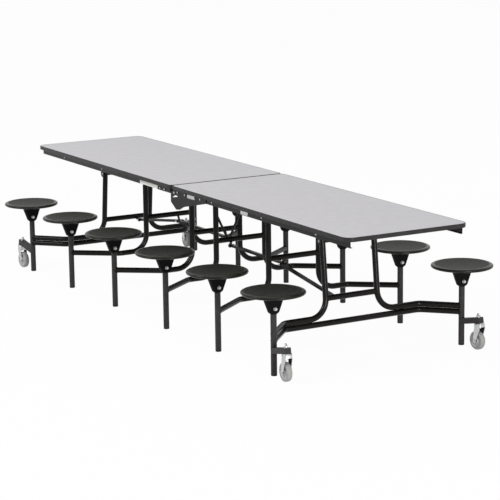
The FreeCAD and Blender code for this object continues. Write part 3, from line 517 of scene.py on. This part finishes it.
def dish_profile():
    """From the middle, a parabola out to a soft line at the rim, then straight down and in below."""
    dish_edge, dish_depth, boss = 139.0, 5.0, 63.0
    radius = np.linspace(0, dish_edge, 14)
    dish = np.stack([radius, SEAT_TOP - 0.8 - dish_depth * (1 - (radius / dish_edge) ** 2)], -1)
    line = [[140.6, SEAT_TOP - 1.2], [142.6, SEAT_TOP - 1.1], [RIM_START, SEAT_TOP - 0.5]]
    hollow = SEAT_UNDER + 1.5
    under = [[RIM_START, hollow], [boss + 3, hollow], [boss, SEAT_UNDER], [0, SEAT_UNDER]]
    return np.concatenate([dish, line, under])


def rim_profile():
    """The nose is a quarter of one superellipse down to the widest place and a quarter of a smaller one
    in to the underside; a straight back closes the ring."""
    tuck, upper_power, lower_power = 11.0, 0.85, 0.95
    nose = SEAT_RADIUS - RIM_START
    half_height = (SEAT_TOP - SEAT_UNDER) / 2
    widest = SEAT_TOP - half_height
    turn = np.linspace(0, np.pi / 2, 12)
    upper = np.stack([
        RIM_START + nose * np.sin(turn) ** upper_power,
        widest + half_height * np.cos(turn) ** upper_power], -1)
    lower = np.stack([
        SEAT_RADIUS - tuck + tuck * np.cos(turn[1:]) ** lower_power,
        widest - half_height * np.sin(turn[1:]) ** lower_power], -1)
    back = [[RIM_START - 1, SEAT_UNDER], [RIM_START - 1, SEAT_TOP - 2], [RIM_START, SEAT_TOP]]
    return np.concatenate([upper, lower, back])


def stool_spots(half, part):
    """The floor spots of a leg frame's two stools."""
    spots = np.array([[STOOL_X[part], side * STOOL_Y, 0] for side in SIDES.values()])
    return half_turned(spots, half)


for half, part in LEG_FRAMES:
    body = f"{half}_{part}_frame"
    spots = stool_spots(half, part)
    make_piece(
        f"{half}_{part}_seat_dishes", [turned(dish_profile(), 96) + spot for spot in spots], body,
        seat_plastic, [f"{half}_{part}_seats"], crease=50)
    make_piece(
        f"{half}_{part}_seat_rims", [turned(rim_profile(), 96) + spot for spot in spots], body,
        rim_plastic, crease=50)
print("seats:", 2 * len(LEG_FRAMES), "across", (2 * rim_profile()[:, 0].max()).round(1), "mm")

# %% [markdown]
# Under each seat a pressed skirt tapers down to the post. It is round at its two sides and flattened
# at the other two, where a bolt goes through the post. The radius is a cone cut off by two flats,
# so one grid of height and turn still draws it.

# %% Seat skirts
skirt_low, skirt_high = solid_box("right_inner_seat_brackets")
SKIRT_FLAT = (skirt_high[0] - skirt_low[0]) / 2
SKIRT_REACH = skirt_high[1] - STOOL_Y
SKIRT_UNDER = skirt_low[2]


def skirt():
    """The cone's radius falls in a straight line with height, with a small flare under the seat and a
    bevel at the foot. At each height the two sides along X are flat: the radius there is the flat's
    distance over the cosine of the turn, out to the turn where the flat meets the cone."""
    flare, knee, foot = 2.5, 29.5, 20.0
    radius, height = np.array([
        [0, SEAT_UNDER], [SKIRT_REACH + flare, SEAT_UNDER], [SKIRT_REACH + 0.6, SEAT_UNDER - 2.5],
        [SKIRT_REACH - 1.8, SEAT_UNDER - 6.5], [knee + 1.2, SKIRT_UNDER + 13],
        [knee - 1.0, SKIRT_UNDER + 8], [foot, SKIRT_UNDER + 1], [foot - 1.2, SKIRT_UNDER],
        [0, SKIRT_UNDER]]).T
    edge = np.arccos(SKIRT_FLAT / np.maximum(radius, SKIRT_FLAT))[:, None]
    flat_part = edge * np.linspace(-1, 1, 5)[:-1]
    round_part = edge + (np.pi - 2 * edge) * np.linspace(0, 1, 19)[:-1]
    turn = np.concatenate(
        [flat_part, round_part, flat_part + np.pi, round_part + np.pi, flat_part[:, :1] + 2 * np.pi], 1)
    reach = np.minimum(radius[:, None], SKIRT_FLAT / np.maximum(np.abs(np.cos(turn)), 0.05))
    level = np.broadcast_to(height[:, None], turn.shape)
    return np.stack([reach * np.cos(turn), reach * np.sin(turn), level], -1)


print("a skirt is", (SEAT_UNDER - SKIRT_UNDER).round(1), "mm deep")

# %% [markdown]
# A bolt goes through each skirt and its post, with a washer and a hexagonal head on both flats. They
# are turned pieces too, laid on their side. Skirts and bolts are made together, one leg frame at a time.

# %% Skirts with their bolts
BOLT_HEIGHT = SKIRT_UNDER + 27.0
# Washers and heads sit this far into what carries them, so that no gap shows.
WASHER_SINK = 0.2


def washer(outer, thickness):
    """A thin turned disc with a rounded edge."""
    edge = [[outer, 0], [outer, thickness * 0.7], [outer * 0.95, thickness]]
    return turned([[0, 0], *edge, [0, thickness]], 28)


def washer_and_head(face, out, washer_size, head_size):
    """A washer on a face, given by its radius and thickness, and a hexagonal head on the washer, given
    by its width across flats and its height."""
    head_place = face + np.array(out) * (washer_size[1] - WASHER_SINK)
    return [stood(washer(*washer_size), face, out), stood(six_sided(*head_size), head_place, out)]


for half, part in LEG_FRAMES:
    body = f"{half}_{part}_frame"
    spots = stool_spots(half, part)
    make_piece(
        f"{half}_{part}_seat_skirts", [skirt() + spot for spot in spots], body,
        bracket_paint, [f"{half}_{part}_seat_brackets"], crease=30)
    bolts = []
    for spot in spots:
        for way in (1, -1):
            face = spot + np.array([way * (SKIRT_FLAT - WASHER_SINK), 0, BOLT_HEIGHT])
            bolts += washer_and_head(face, (way, 0, 0), (10.0, 2.0), (15.0, 8.0))
    make_piece(f"{half}_{part}_seat_bolts", bolts, body, zinc, crease=30)
print("skirts:", 2 * len(LEG_FRAMES), "with", 4 * len(LEG_FRAMES), "bolt heads")

# %% [markdown]
# The posts are steel tube, and each stands on a nylon glide pressed into its end, so that the floor
# isn't scratched. Two turned profiles make them, one per material, with the small bevels drawn in.

# %% Posts and glides
GLIDE_HEIGHT = 8.0
post_low, post_high = solid_box("right_inner_stool_posts")
POST_RADIUS = (post_high[0] - post_low[0]) / 2


def post_profile():
    """Radius and height: a small bevel at the foot, then straight up into the skirt."""
    foot, head = GLIDE_HEIGHT, SEAT_UNDER - 2
    bevel = [[POST_RADIUS - 1, foot], [POST_RADIUS - 0.3, foot + 0.3], [POST_RADIUS, foot + 1]]
    return [[0, foot], *bevel, [POST_RADIUS, SEAT_UNDER / 2], [POST_RADIUS, head], [0, head]]


def glide_profile():
    """Radius and height: a button with a rounded foot and a small bevel against the post."""
    top = GLIDE_HEIGHT - 0.2
    return [[0, 0], [POST_RADIUS - 2.4, 0], [POST_RADIUS - 0.8, 0.6], [POST_RADIUS, 2.2],
            [POST_RADIUS, top - 1.2], [POST_RADIUS - 0.8, top], [0, top]]


for half, part in LEG_FRAMES:
    body = f"{half}_{part}_frame"
    spots = stool_spots(half, part)
    make_piece(
        f"{half}_{part}_posts", [turned(post_profile(), 40) + spot for spot in spots], body,
        post_paint, [f"{half}_{part}_stool_posts"])
    make_piece(
        f"{half}_{part}_glides", [turned(glide_profile(), 40) + spot for spot in spots], body,
        glide_plastic)
print("posts and glides:", 2 * len(LEG_FRAMES), "each")

# %% [markdown]
# Welds join the tubes. A weld runs along the curve where one tube meets another, a saddle: for each
# turn about the joining tube, the curve lies where that tube's surface reaches the other one's. It has a
# formula, so no curve has to be drawn by hand. The bead is a small rippled ring carried along that
# saddle, then painted with the frame.

# %% Weld beads
rail_low, rail_high = solid_box("right_end_bottom_rail")
LEG_RADIUS = (rail_high[2] - rail_low[2]) / 2
CROSS_RADIUS = solid_box("right_mid_cross_members")[1][0] - joint_place("right_mid_swing")[0]
LEG_Z = {part: solid_box(f"right_{part}_leg_tubes")[0][2] + LEG_RADIUS for part in STOOL_X}
RAIL_Z = rail_low[2] + LEG_RADIUS
# Where each leg tube bends upwards, along and across the table.
BEND = {"inner": (144.0, 342.0), "mid": (730.0, 342.0), "end": (1320.0, 418.0)}
# Each crossbar's place along the table and its height, and how far out it meets the uprights.
CROSSBAR = {"inner": (144.0, 418.0), "mid": (730.0, 418.0), "end": (1310.1, 311.0)}
UPRIGHT_Y = 159.0
LEG_BEAD, CROSS_BEAD = 2.4, 2.0
RIPPLES, RIPPLE_SHARE = 18, 0.16


def weld_bead(centre, ahead, reach, radius, bead):
    """Round the joining tube, the saddle is the centre, plus radius times the turn's direction, plus
    ahead times the root of reach squared less the sideways part squared. The bead's own ring is added
    across it, with ripples as welding leaves them."""
    ahead = np.array(ahead, float) / np.linalg.norm(ahead)
    up = np.array([0, 0, 1.0])
    side = np.cross(up, ahead)
    turn, around = full_turn(72), full_turn(8)
    out = np.cos(turn)[:, None] * side + np.sin(turn)[:, None] * up
    depth = np.sqrt(np.maximum(reach ** 2 - (radius * np.cos(turn)) ** 2, 0))
    saddle = np.array(centre, float) + radius * out + depth[:, None] * ahead
    ring = bead * (1 + RIPPLE_SHARE * np.sin(RIPPLES * turn))
    across = np.cos(around)[None, :, None] * out[:, None] + np.sin(around)[None, :, None] * ahead
    return saddle[:, None] + ring[:, None, None] * across


weld_count = 0
for half, part in LEG_FRAMES:
    beads = []
    for side in SIDES.values():
        along, outward = BEND[part]
        inwards = np.array([along - STOOL_X[part], side * (outward - STOOL_Y), 0])
        heights = [LEG_Z[part], RAIL_Z] if part == "end" else [LEG_Z[part]]
        for height in heights:
            post = [STOOL_X[part], side * STOOL_Y, height]
            beads.append(weld_bead(post, inwards, POST_RADIUS, LEG_RADIUS, LEG_BEAD))
        x, z = CROSSBAR[part]
        upright = [x, side * UPRIGHT_Y, z]
        beads.append(weld_bead(upright, [0, -side, 0], LEG_RADIUS, CROSS_RADIUS, CROSS_BEAD))
    beads = [half_turned(bead, half) for bead in beads]
    make_piece(f"{half}_{part}_welds", beads, f"{half}_{part}_frame", frame_paint)
    weld_count += len(beads)
print("weld rings:", weld_count)

# %% [markdown]
# Casters: a pressed fork of bright zinc-plated steel under the arm, a grey wheel between its cheeks
# and a stem that goes up through the arm to a nut. The caster swivels about its stem, so all of it is
# drawn about the stem, with the height axis along it, and then stood on the leaning stem line.

# %% Caster frame of reference
CASTERS = [(half, name) for half in HALVES for name in SIDES]
OPPOSITE = {"near": "far", "far": "near"}


def stem_axes(name):
    """Rows of a right caster's own axes: along the arm, along the axle and up the stem."""
    across = np.array(JOINTS[f"right_{name}_roll"]["axis"])
    up = np.array(JOINTS[f"right_{name}_swivel"]["axis"])
    return np.stack([np.cross(across, up), across, up])


def on_stem(grid, half, name):
    """From a caster's own axes to the table's: turned to them, moved to the stem, turned to the half.
    A near caster of the left half is the right half's far one, half a turn round."""
    drawn = name if half == "right" else OPPOSITE[name]
    return half_turned(grid @ stem_axes(drawn) + joint_place(f"right_{drawn}_swivel"), half)


AXLE = stem_axes("far") @ (joint_place("right_far_roll") - joint_place("right_far_swivel"))
print("axle", (-AXLE[2]).round(1), "mm below the stem's middle")

# %% [markdown]
# The fork is pressed from one sheet: a hood under the ball race whose two cheeks hang down to the axle,
# while its front and back stop high up in an arch over the wheel. Columns of points go down from the
# hood's rim to that lower edge, all the way round. Inside the hood a surface of its own carries
# painted shade: a dark, dull lining that stands for the shade that falls in there.

# %% Forks
CROWN_TOP, CROWN_RADIUS = -16.0, 27.5
CHEEK_INSIDE, CHEEK_WALL = 18.0, 3.0
HOOD_LENGTH, HOOD_DROP, HOOD_POWER = 25.0, 8.0, 0.4
ARCH_DROP, EYE_RADIUS = 23.0, 13.0
# How far the outer and the inner face of each shell are drawn in.
STEEL_FACES = (0, CHEEK_WALL - 0.6)
# The lining just inside the steel, which carries the painted shade.
SHADE_LINING_FACES = (CHEEK_WALL - 0.5, CHEEK_WALL - 0.1)


def hood(inset, levels):
    """The plan is a superellipse of the turn, drawn in by an inset. Each column leans from its place on
    the rim to the lower edge: the arch at the front and back, the eye's circle at the cheeks."""
    turn = full_turn(120)
    length, width = HOOD_LENGTH - inset, CHEEK_INSIDE + CHEEK_WALL - inset
    x = length * squared_up(np.cos(turn), HOOD_POWER)
    y = width * squared_up(np.sin(turn), HOOD_POWER)
    from_front = np.degrees(np.arccos(np.cos(turn)))
    slant = EYE_RADIUS * math.sqrt(0.5)
    arch = CROWN_TOP - ARCH_DROP
    axle_x, _, axle_z = AXLE
    # Degrees from the front, at which the places of the lower edge are given.
    marks = [0, 35, 68, 79, 90, 101, 112, 145, 180]
    low_x = np.interp(from_front, marks, [
        length, length - 3, axle_x + EYE_RADIUS, axle_x + slant, axle_x, axle_x - slant,
        axle_x - EYE_RADIUS, 3 - length, -length])
    low_z = np.interp(from_front, marks, [
        arch, arch - 3, axle_z, axle_z - slant, axle_z - EYE_RADIUS, axle_z - slant,
        axle_z, arch - 8, arch - 5])
    cheek = np.interp(from_front, [20, 60, 120, 160], [0, 1, 1, 0])
    low_y = y + cheek * (np.sign(np.sin(turn)) * width - y)
    rim = np.stack([x, y, np.full_like(x, CROWN_TOP - HOOD_DROP - inset)], -1)
    low = np.stack([low_x, low_y, low_z], -1)
    return rim + (low - rim) * np.array(levels)[:, None, None]


def fork_shell(outer, inner):
    """Two hoods, one drawn in more than the other, joined at the lower edge and closed at the top."""
    outside = hood(outer, np.linspace(0, 1, 9))
    inside = hood(inner, np.linspace(1, 0, 9))
    domed = outside[:1] * np.array([0.86, 0.86, 1]) + np.array([0, 0, 3.5])
    middle = np.array([0, 0, 1])
    return np.concatenate([domed * middle, domed, outside, inside, inside[-1:] * middle])


def race():
    """A turned ring between the arm and the hood, with a groove where its two halves meet."""
    top, out = CROWN_TOP, CROWN_RADIUS
    return turned([
        [0, top], [out - 4, top], [out - 1, top - 0.8], [out, top - 2.4], [out - 1.6, top - 3.2],
        [out - 0.4, top - 4.0], [out - 1.2, top - 6.4], [out - 5, top - 7.6], [0, top - 7.6]], 56)


def axle_nuts():
    """A hexagonal nut and a washer outside each cheek."""
    grids = []
    for way in (-1, 1):
        face = AXLE + np.array([0, way * (CHEEK_INSIDE + CHEEK_WALL), 0])
        grids += washer_and_head(face, (0, way, 0), (8.5, 1.2), (12.0, 5.0))
    return grids


for half, name in CASTERS:
    body = f"{half}_{name}_caster"
    bright = [on_stem(grid, half, name) for grid in (race(), fork_shell(*STEEL_FACES), *axle_nuts())]
    # The lining inside each fork is painted shade: a dark sheet where the hood shades its own inside.
    lining = [on_stem(fork_shell(*SHADE_LINING_FACES), half, name)]
    make_piece(
        f"{half}_{name}_fork", bright, body, zinc, [f"{half}_{name}_caster_fork"],
        crease=35)
    make_piece(f"{half}_{name}_fork_shade_lining", lining, body, painted_shade_zinc, crease=35)
print("forks:", len(CASTERS))

# %% [markdown]
# The wheel has a rubber tread moulded on a stiffer core. Both are turned about the axle: the tread
# with a rounded crown and a shallow step at its side, the core with a dished web and a hub. The ribs of
# the tread are a cosine in its profile, which costs fewer faces than displacing a cylinder would.

# %% Wheels
WHEEL_RADIUS, TREAD_DEPTH, TREAD_HALF = 50.0, 10.0, 15.0
RIB_DEPTH, RIB_SPACING, RIBBED_HALF = 0.7, 6.5, 13


def tread_profile():
    """The running face is a superellipse across the wheel, less a cosine that leaves four ribs round
    it; the sides step in to the core."""
    turn = np.linspace(-np.pi / 2, np.pi / 2, 65)
    across = TREAD_HALF * squared_up(np.sin(turn), 0.75)
    radius = WHEEL_RADIUS - TREAD_DEPTH + TREAD_DEPTH * squared_up(np.cos(turn), 0.6)
    groove = RIB_DEPTH * (0.5 + 0.5 * np.cos(2 * np.pi * across / RIB_SPACING))
    face = np.stack([radius - groove * (np.abs(across) < RIBBED_HALF), across], -1)
    step = np.array([[36.0, 13.5], [37.5, 14.6]])
    other_step = step * np.array([1, -1])
    return np.concatenate([other_step, face, step[::-1], other_step[:1]])


def core_profile():
    """A hub, a dished web with a ring pressed into it, and the seat of the tread."""
    side = np.array([
        [0, 16], [9, 16], [14, 15.4], [16, 13], [18, 9.5], [22, 9], [23.5, 10.6], [26, 10.6], [27.5, 9],
        [30, 9], [34.5, 12], [36.2, 13]])
    return np.concatenate([side, side[::-1] * np.array([1, -1])])


for half, name in CASTERS:
    body = f"{half}_{name}_wheel"
    tread, core = (
        on_stem(stood(turned(profile, 64), AXLE, (0, 1, 0)), half, name)
        for profile in (tread_profile(), core_profile()))
    make_piece(
        f"{body}_tread", [tread], body, tyre, [f"{half}_{name}_caster_wheel"], crease=35)
    make_piece(f"{body}_core", [core], body, wheel_core, crease=35)
print("wheels:", len(CASTERS), "across", 2 * WHEEL_RADIUS, "mm")

# %% [markdown]
# The stem's nut and threaded end stand above the caster arm. They are small but bright, so they show. The
# thread is drawn as plain rings, because at this size nobody sees that they don't climb.

# %% Stem nuts
ARM_HALF = 15.0


def thread_end(radius, length, turns):
    """A turned bar whose radius swings a little with height, as a thread's crests do."""
    height = np.linspace(0, length, 8 * turns + 1)
    swing = radius + 0.35 * np.cos(2 * np.pi * turns * height / length)
    profile = np.stack([swing, height], -1)
    return turned(np.concatenate([[[0, 0]], profile, [[radius * 0.7, length + 1], [0, length + 1]]]), 24)


# Each piece on a stem, and how far it stands above the arm.
STEM_PIECES = ((washer(12.5, 2.0), 0.0), (six_sided(21.0, 9.0), 1.8), (thread_end(5.8, 11.0, 7), 9.0))
for half in HALVES:
    grids = [
        on_stem(grid + np.array([0, 0, ARM_HALF + height]), half, name)
        for name in SIDES for grid, height in STEM_PIECES]
    make_piece(f"{half}_stem_nuts", grids, f"{half}_end_frame", zinc, crease=30)
print("stem nuts:", len(CASTERS))

# %% [markdown]
# Fasteners along the rails and plates: round rivet heads and hexagonal bolts. Each has only about a
# hundred faces, and is set on the face that carries it.

# %% Bolts and rivets on the rails
PLATE_FACE = -solid_box("right_hinge_plates")[0][1]
RAIL_FACE = solid_box("right_aprons")[1][1]
RAIL_UNDER = solid_box("right_aprons")[0][2]
RAIL_MIDDLE = (RAIL_UNDER + TOP_UNDER) / 2
# Fasteners and plates on the rails sit this far into the face that carries them.
FACE_SINK = 0.1


def rivet(radius, height):
    """A dome: radius times the cosine of a quarter turn, height times its sine."""
    turn = np.linspace(0, np.pi / 2, 6)
    profile = np.stack([radius * np.cos(turn), height * np.sin(turn)], -1)
    return turned(np.concatenate([[[0, 0]], profile]), 20)


# Places along the table from the seam, with a height where the bolts aren't in one row.
GUSSET_BOLTS = ((-8.0, 691.0), (34.0, 699.0), (120.0, 697.0), (300.0, 699.0))
SPLICE_BOLTS, SPLICE_HEIGHT = (126.0, 181.0), 695.0
RAIL_RIVETS = (420.0, 960.0, 1500.0)
SEAM_BOLT, RAIL_RIVET = six_sided(11.0, 4.5), rivet(5.0, 2.4)
for half in HALVES:
    bolts = [stood(SEAM_BOLT, [x, FACE_SINK - PLATE_FACE, z], (0, -1, 0)) for x, z in GUSSET_BOLTS]
    bolts += [
        stood(SEAM_BOLT, [x, PLATE_FACE - FACE_SINK, SPLICE_HEIGHT], (0, 1, 0)) for x in SPLICE_BOLTS]
    rivets = [
        stood(RAIL_RIVET, [x, side * (RAIL_FACE - FACE_SINK), RAIL_MIDDLE], (0, side, 0))
        for side in SIDES.values() for x in RAIL_RIVETS]
    make_piece(
        f"{half}_seam_bolts", [half_turned(grid, half) for grid in bolts], f"{half}_top",
        zinc, crease=30)
    make_piece(
        f"{half}_rail_rivets", [half_turned(grid, half) for grid in rivets], f"{half}_top",
        zinc, crease=50)
print("bolts:", 2 * (len(GUSSET_BOLTS) + len(SPLICE_BOLTS)), "rivets:", 4 * len(RAIL_RIVETS))

# %% [markdown]
# Small plates sit on the near rail: a white one on the left half and two bright ones on the right. They
# stay blank here. A plate is a flat form with rounded corners: a superellipse across its face, drawn in
# a little at the front edge.

# %% Blank plates on the near rail
def blank_plate(length, height, thickness):
    """The outline is half a length times the cosine and half a height times the sine of the turn, both
    to a small power, which squares it up. Rings of it give the back, the edge and the front."""
    turn = full_turn(80)
    power = 0.12
    across = length / 2 * squared_up(np.cos(turn), power)
    up = height / 2 * squared_up(np.sin(turn), power)
    inset = np.array([0, 1, 1, 0.995, 0])[:, None]
    depth = np.broadcast_to(np.array([0, 0, 0.7, 1, 1])[:, None] * thickness, (5, len(turn)))
    return np.stack([across * inset, up * inset, depth], -1)


# Half, name, start and end along the table, lower and upper edge, the face that carries it, finish.
BLANK_PLATES = (
    ("left", "white_plate", -446.0, -219.0, 683.0, 706.5, RAIL_FACE, plate_paint),
    ("right", "gusset_plate_bright", 147.0, 229.0, 684.0, 704.0, PLATE_FACE, zinc),
    ("right", "rail_plate_bright", 742.0, 816.0, 685.0, 707.0, RAIL_FACE, zinc),
)
PLATE_THICKNESS = 1.2
for half, name, start, end, low, high, face, finish in BLANK_PLATES:
    plate = blank_plate(end - start, high - low, PLATE_THICKNESS)
    laid = np.stack([plate[..., 0], -plate[..., 2], plate[..., 1]], -1)
    centre = np.array([(start + end) / 2, FACE_SINK - face, (low + high) / 2])
    make_piece(f"{half}_{name}", [laid + centre], f"{half}_top", finish, crease=30)
print("blank plates:", len(BLANK_PLATES))

# %% [markdown]
# Beside the seam, an end plate closes the corner between the rail, the splice plate and the top, where
# light would otherwise show through. It stands across the table, on the half whose splice plate it ends.

# %% End plates at the seam
END_PLATE_X, END_PLATE_INSIDE, END_PLATE_THICKNESS = 58.0, 303.0, 2.0
end_plate = blank_plate(
    RAIL_FACE - END_PLATE_INSIDE, TOP_UNDER - RAIL_UNDER - 1, END_PLATE_THICKNESS)
end_plate = end_plate[..., [2, 0, 1]] + np.array(
    [END_PLATE_X, (RAIL_FACE + END_PLATE_INSIDE) / 2, (TOP_UNDER + RAIL_UNDER) / 2])
for half in HALVES:
    make_piece(
        f"{half}_seam_end_plate", [half_turned(end_plate, half)], f"{half}_top",
        frame_paint, crease=30)
print("end plates:", len(HALVES))

# %% [markdown]
# More fasteners hold the parts that swing: bright caps close the ends of the tie bars' pins, and screws
# go up through the hangers' flanges into the top.

# %% Pin caps and hanger screws
LINKS = ("outer_link", "inner_link")
HANGER_JOINTS = ("right_inner_swing", "right_mid_swing", "right_fold")
SCREW_STEP, FLANGE_DROP = 12, 4.9
SCREW_Y = solid_box("right_hangers")[1][1] - SCREW_STEP
PIN_CAP, SCREW_HEAD = rivet(7.6, 2.6), rivet(4.5, 2.2)
for half in HALVES:
    for link in LINKS:
        x, _, z = joint_place(f"right_{link}_swing")
        low, high = (corner[1] for corner in solid_box(f"right_{link}"))
        faces = ((low + FACE_SINK, -1), (high - FACE_SINK, 1))
        caps = [half_turned(stood(PIN_CAP, [x, y, z], (0, way, 0)), half) for y, way in faces]
        make_piece(f"{half}_{link}_caps", caps, f"{half}_{link}", zinc, crease=50)
    screws = []
    for joint in HANGER_JOINTS:
        x = joint_place(joint)[0]
        for side in SIDES.values():
            for step in (-SCREW_STEP, SCREW_STEP):
                spot = [x + step, side * SCREW_Y, TOP_UNDER - FLANGE_DROP]
                screws.append(half_turned(stood(SCREW_HEAD, spot, (0, 0, -1)), half))
    make_piece(f"{half}_hanger_screws", screws, f"{half}_top", zinc, crease=50)
print("pin caps:", 4 * len(LINKS), "screws:", 2 * len(screws))

# %% [markdown]
# The floor and the background are plain white. The floor shows mostly a white of its own to the
# camera and to reflections, mixed with a share of the real light, so that the shadow stays. The world
# is white behind everything, and lights the table evenly.

# %% Floor
FLOOR_HALF = 80.0
GLOW_SHARE = 0.96
floor_mesh = bpy.data.meshes.new("floor")
corners = np.array([[-1, -1, 0], [1, -1, 0], [1, 1, 0], [-1, 1, 0]]) * FLOOR_HALF
floor_mesh.from_pydata(corners.tolist(), [], [[0, 1, 2, 3]])
floor = bpy.data.objects.new("floor", floor_mesh)
bpy.context.scene.collection.objects.link(floor)


def seen_directly(tree):
    """One where a ray comes from the camera, a reflection or through glass, and zero elsewhere."""
    path = add(tree, "ShaderNodeLightPath")
    either = add(
        tree, "ShaderNodeMath",
        {0: path.outputs["Is Camera Ray"], 1: path.outputs["Is Glossy Ray"]}, operation="MAXIMUM")
    return add(
        tree, "ShaderNodeMath",
        {0: either.outputs["Value"], 1: path.outputs["Is Transmission Ray"]}, operation="MAXIMUM")


def floor_finish():
    """Matt white paper, which takes the table's shadow. Where it is seen directly, a share of plain
    white light is mixed in."""
    material, tree, paper = blank_finish("studio_paper_white")
    paper.inputs["Base Color"].default_value = linear("#F2F2F2")
    paper.inputs["Roughness"].default_value = 0.9
    paper.inputs["Specular IOR Level"].default_value = 0.0
    glow = add(tree, "ShaderNodeEmission", {"Color": (1, 1, 1, 1), "Strength": 1.0})
    share = add(
        tree, "ShaderNodeMath", {0: seen_directly(tree).outputs["Value"], 1: GLOW_SHARE},
        operation="MULTIPLY")
    mix = add(
        tree, "ShaderNodeMixShader",
        {0: share.outputs["Value"], 1: paper.outputs["BSDF"], 2: glow.outputs["Emission"]})
    tree.links.new(mix.outputs["Shader"], tree.nodes["Material Output"].inputs["Surface"])
    return material


floor_mesh.materials.append(floor_finish())
print("floor", 2 * FLOOR_HALF, "m wide")

# %% World
WORLD_LIGHT, PLAIN_WHITE = 0.55, 1.0
world = bpy.data.worlds.new("white_studio")
bpy.context.scene.world = world
world.use_nodes = True
sky = world.node_tree
background = sky.nodes["Background"]
background.inputs["Color"].default_value = (1, 1, 1, 1)
strength = add(
    sky, "ShaderNodeMapRange",
    {"Value": seen_directly(sky).outputs["Value"], "To Min": WORLD_LIGHT, "To Max": PLAIN_WHITE})
sky.links.new(strength.outputs["Result"], background.inputs["Strength"])
print("world lights the table with", WORLD_LIGHT, "of white")

# %% [markdown]
# Light is soft studio light: one large panel above and in front, and a smaller, low one off the right
# end, whose light glances along the tubes and rims. Area lamps are sized in metres, and their power is
# set so that a colour renders about as it is written. Lamps and cameras both look along their own
# negative Z axis, so one helper stands them up from their right, up and backward directions.

# %% Lamps
LAMP_AIM = np.array([0, 0, 0.5])
# Name, place, width in metres and power in watts.
LAMPS = (
    ("key_panel", (-1.0, -7.5, 6.0), 4.0, 430),
    ("side_panel", (9.0, -1.0, 1.3), 2.5, 350),
)


def pose_matrix(right, up, back, place):
    """The matrix whose first three columns are an object's own axes and whose last is its place."""
    matrix = np.eye(4)
    matrix[:3, :3] = np.stack([right, up, back], -1)
    matrix[:3, 3] = place
    return Matrix(matrix.tolist())


for name, place, width, power in LAMPS:
    panel = bpy.data.lights.new(name, "AREA")
    panel.shape = "DISK"
    panel.size = width
    panel.energy = power
    lamp = bpy.data.objects.new(name, panel)
    bpy.context.scene.collection.objects.link(lamp)
    back = np.array(place, float) - LAMP_AIM
    back /= np.linalg.norm(back)
    across = np.cross([0, 0, 1.0], back)
    across /= np.linalg.norm(across)
    lamp.matrix_world = pose_matrix(across, np.cross(back, across), back, place)
print("lamps:", len(LAMPS))

# %% [markdown]
# The camera stands where the photograph was taken: about ten metres off the right end and 2.6 metres
# up, with a long lens. Its place and turn were fitted to the corners of the top and the feet of the
# stools.

# %% Camera
PICTURE, SENSOR_WIDTH, FARTHEST = 500, 36, 300
FOCAL_PIXELS = 1975.5
CAMERA_PLACE = (9.7626, -5.4495, 2.6244)
AZIMUTH, ELEVATION, ROLL = math.radians(-60.19), math.radians(11.64), math.radians(0.75)
ahead = np.array([
    math.sin(AZIMUTH) * math.cos(ELEVATION), math.cos(AZIMUTH) * math.cos(ELEVATION),
    -math.sin(ELEVATION)])
level = np.array([math.cos(AZIMUTH), -math.sin(AZIMUTH), 0])
drop = np.cross(ahead, level)
right = math.cos(ROLL) * level + math.sin(ROLL) * drop
down = -math.sin(ROLL) * level + math.cos(ROLL) * drop
camera_data = bpy.data.cameras.new("camera")
camera_data.sensor_width = SENSOR_WIDTH
camera_data.lens = FOCAL_PIXELS / PICTURE * SENSOR_WIDTH
camera_data.clip_end = FARTHEST
camera = bpy.data.objects.new("camera", camera_data)
bpy.context.scene.collection.objects.link(camera)
camera.matrix_world = pose_matrix(right, -down, -ahead, CAMERA_PLACE)
bpy.context.scene.camera = camera
bpy.context.scene.view_settings.view_transform = "Standard"
print("lens", round(camera_data.lens, 1), "mm")
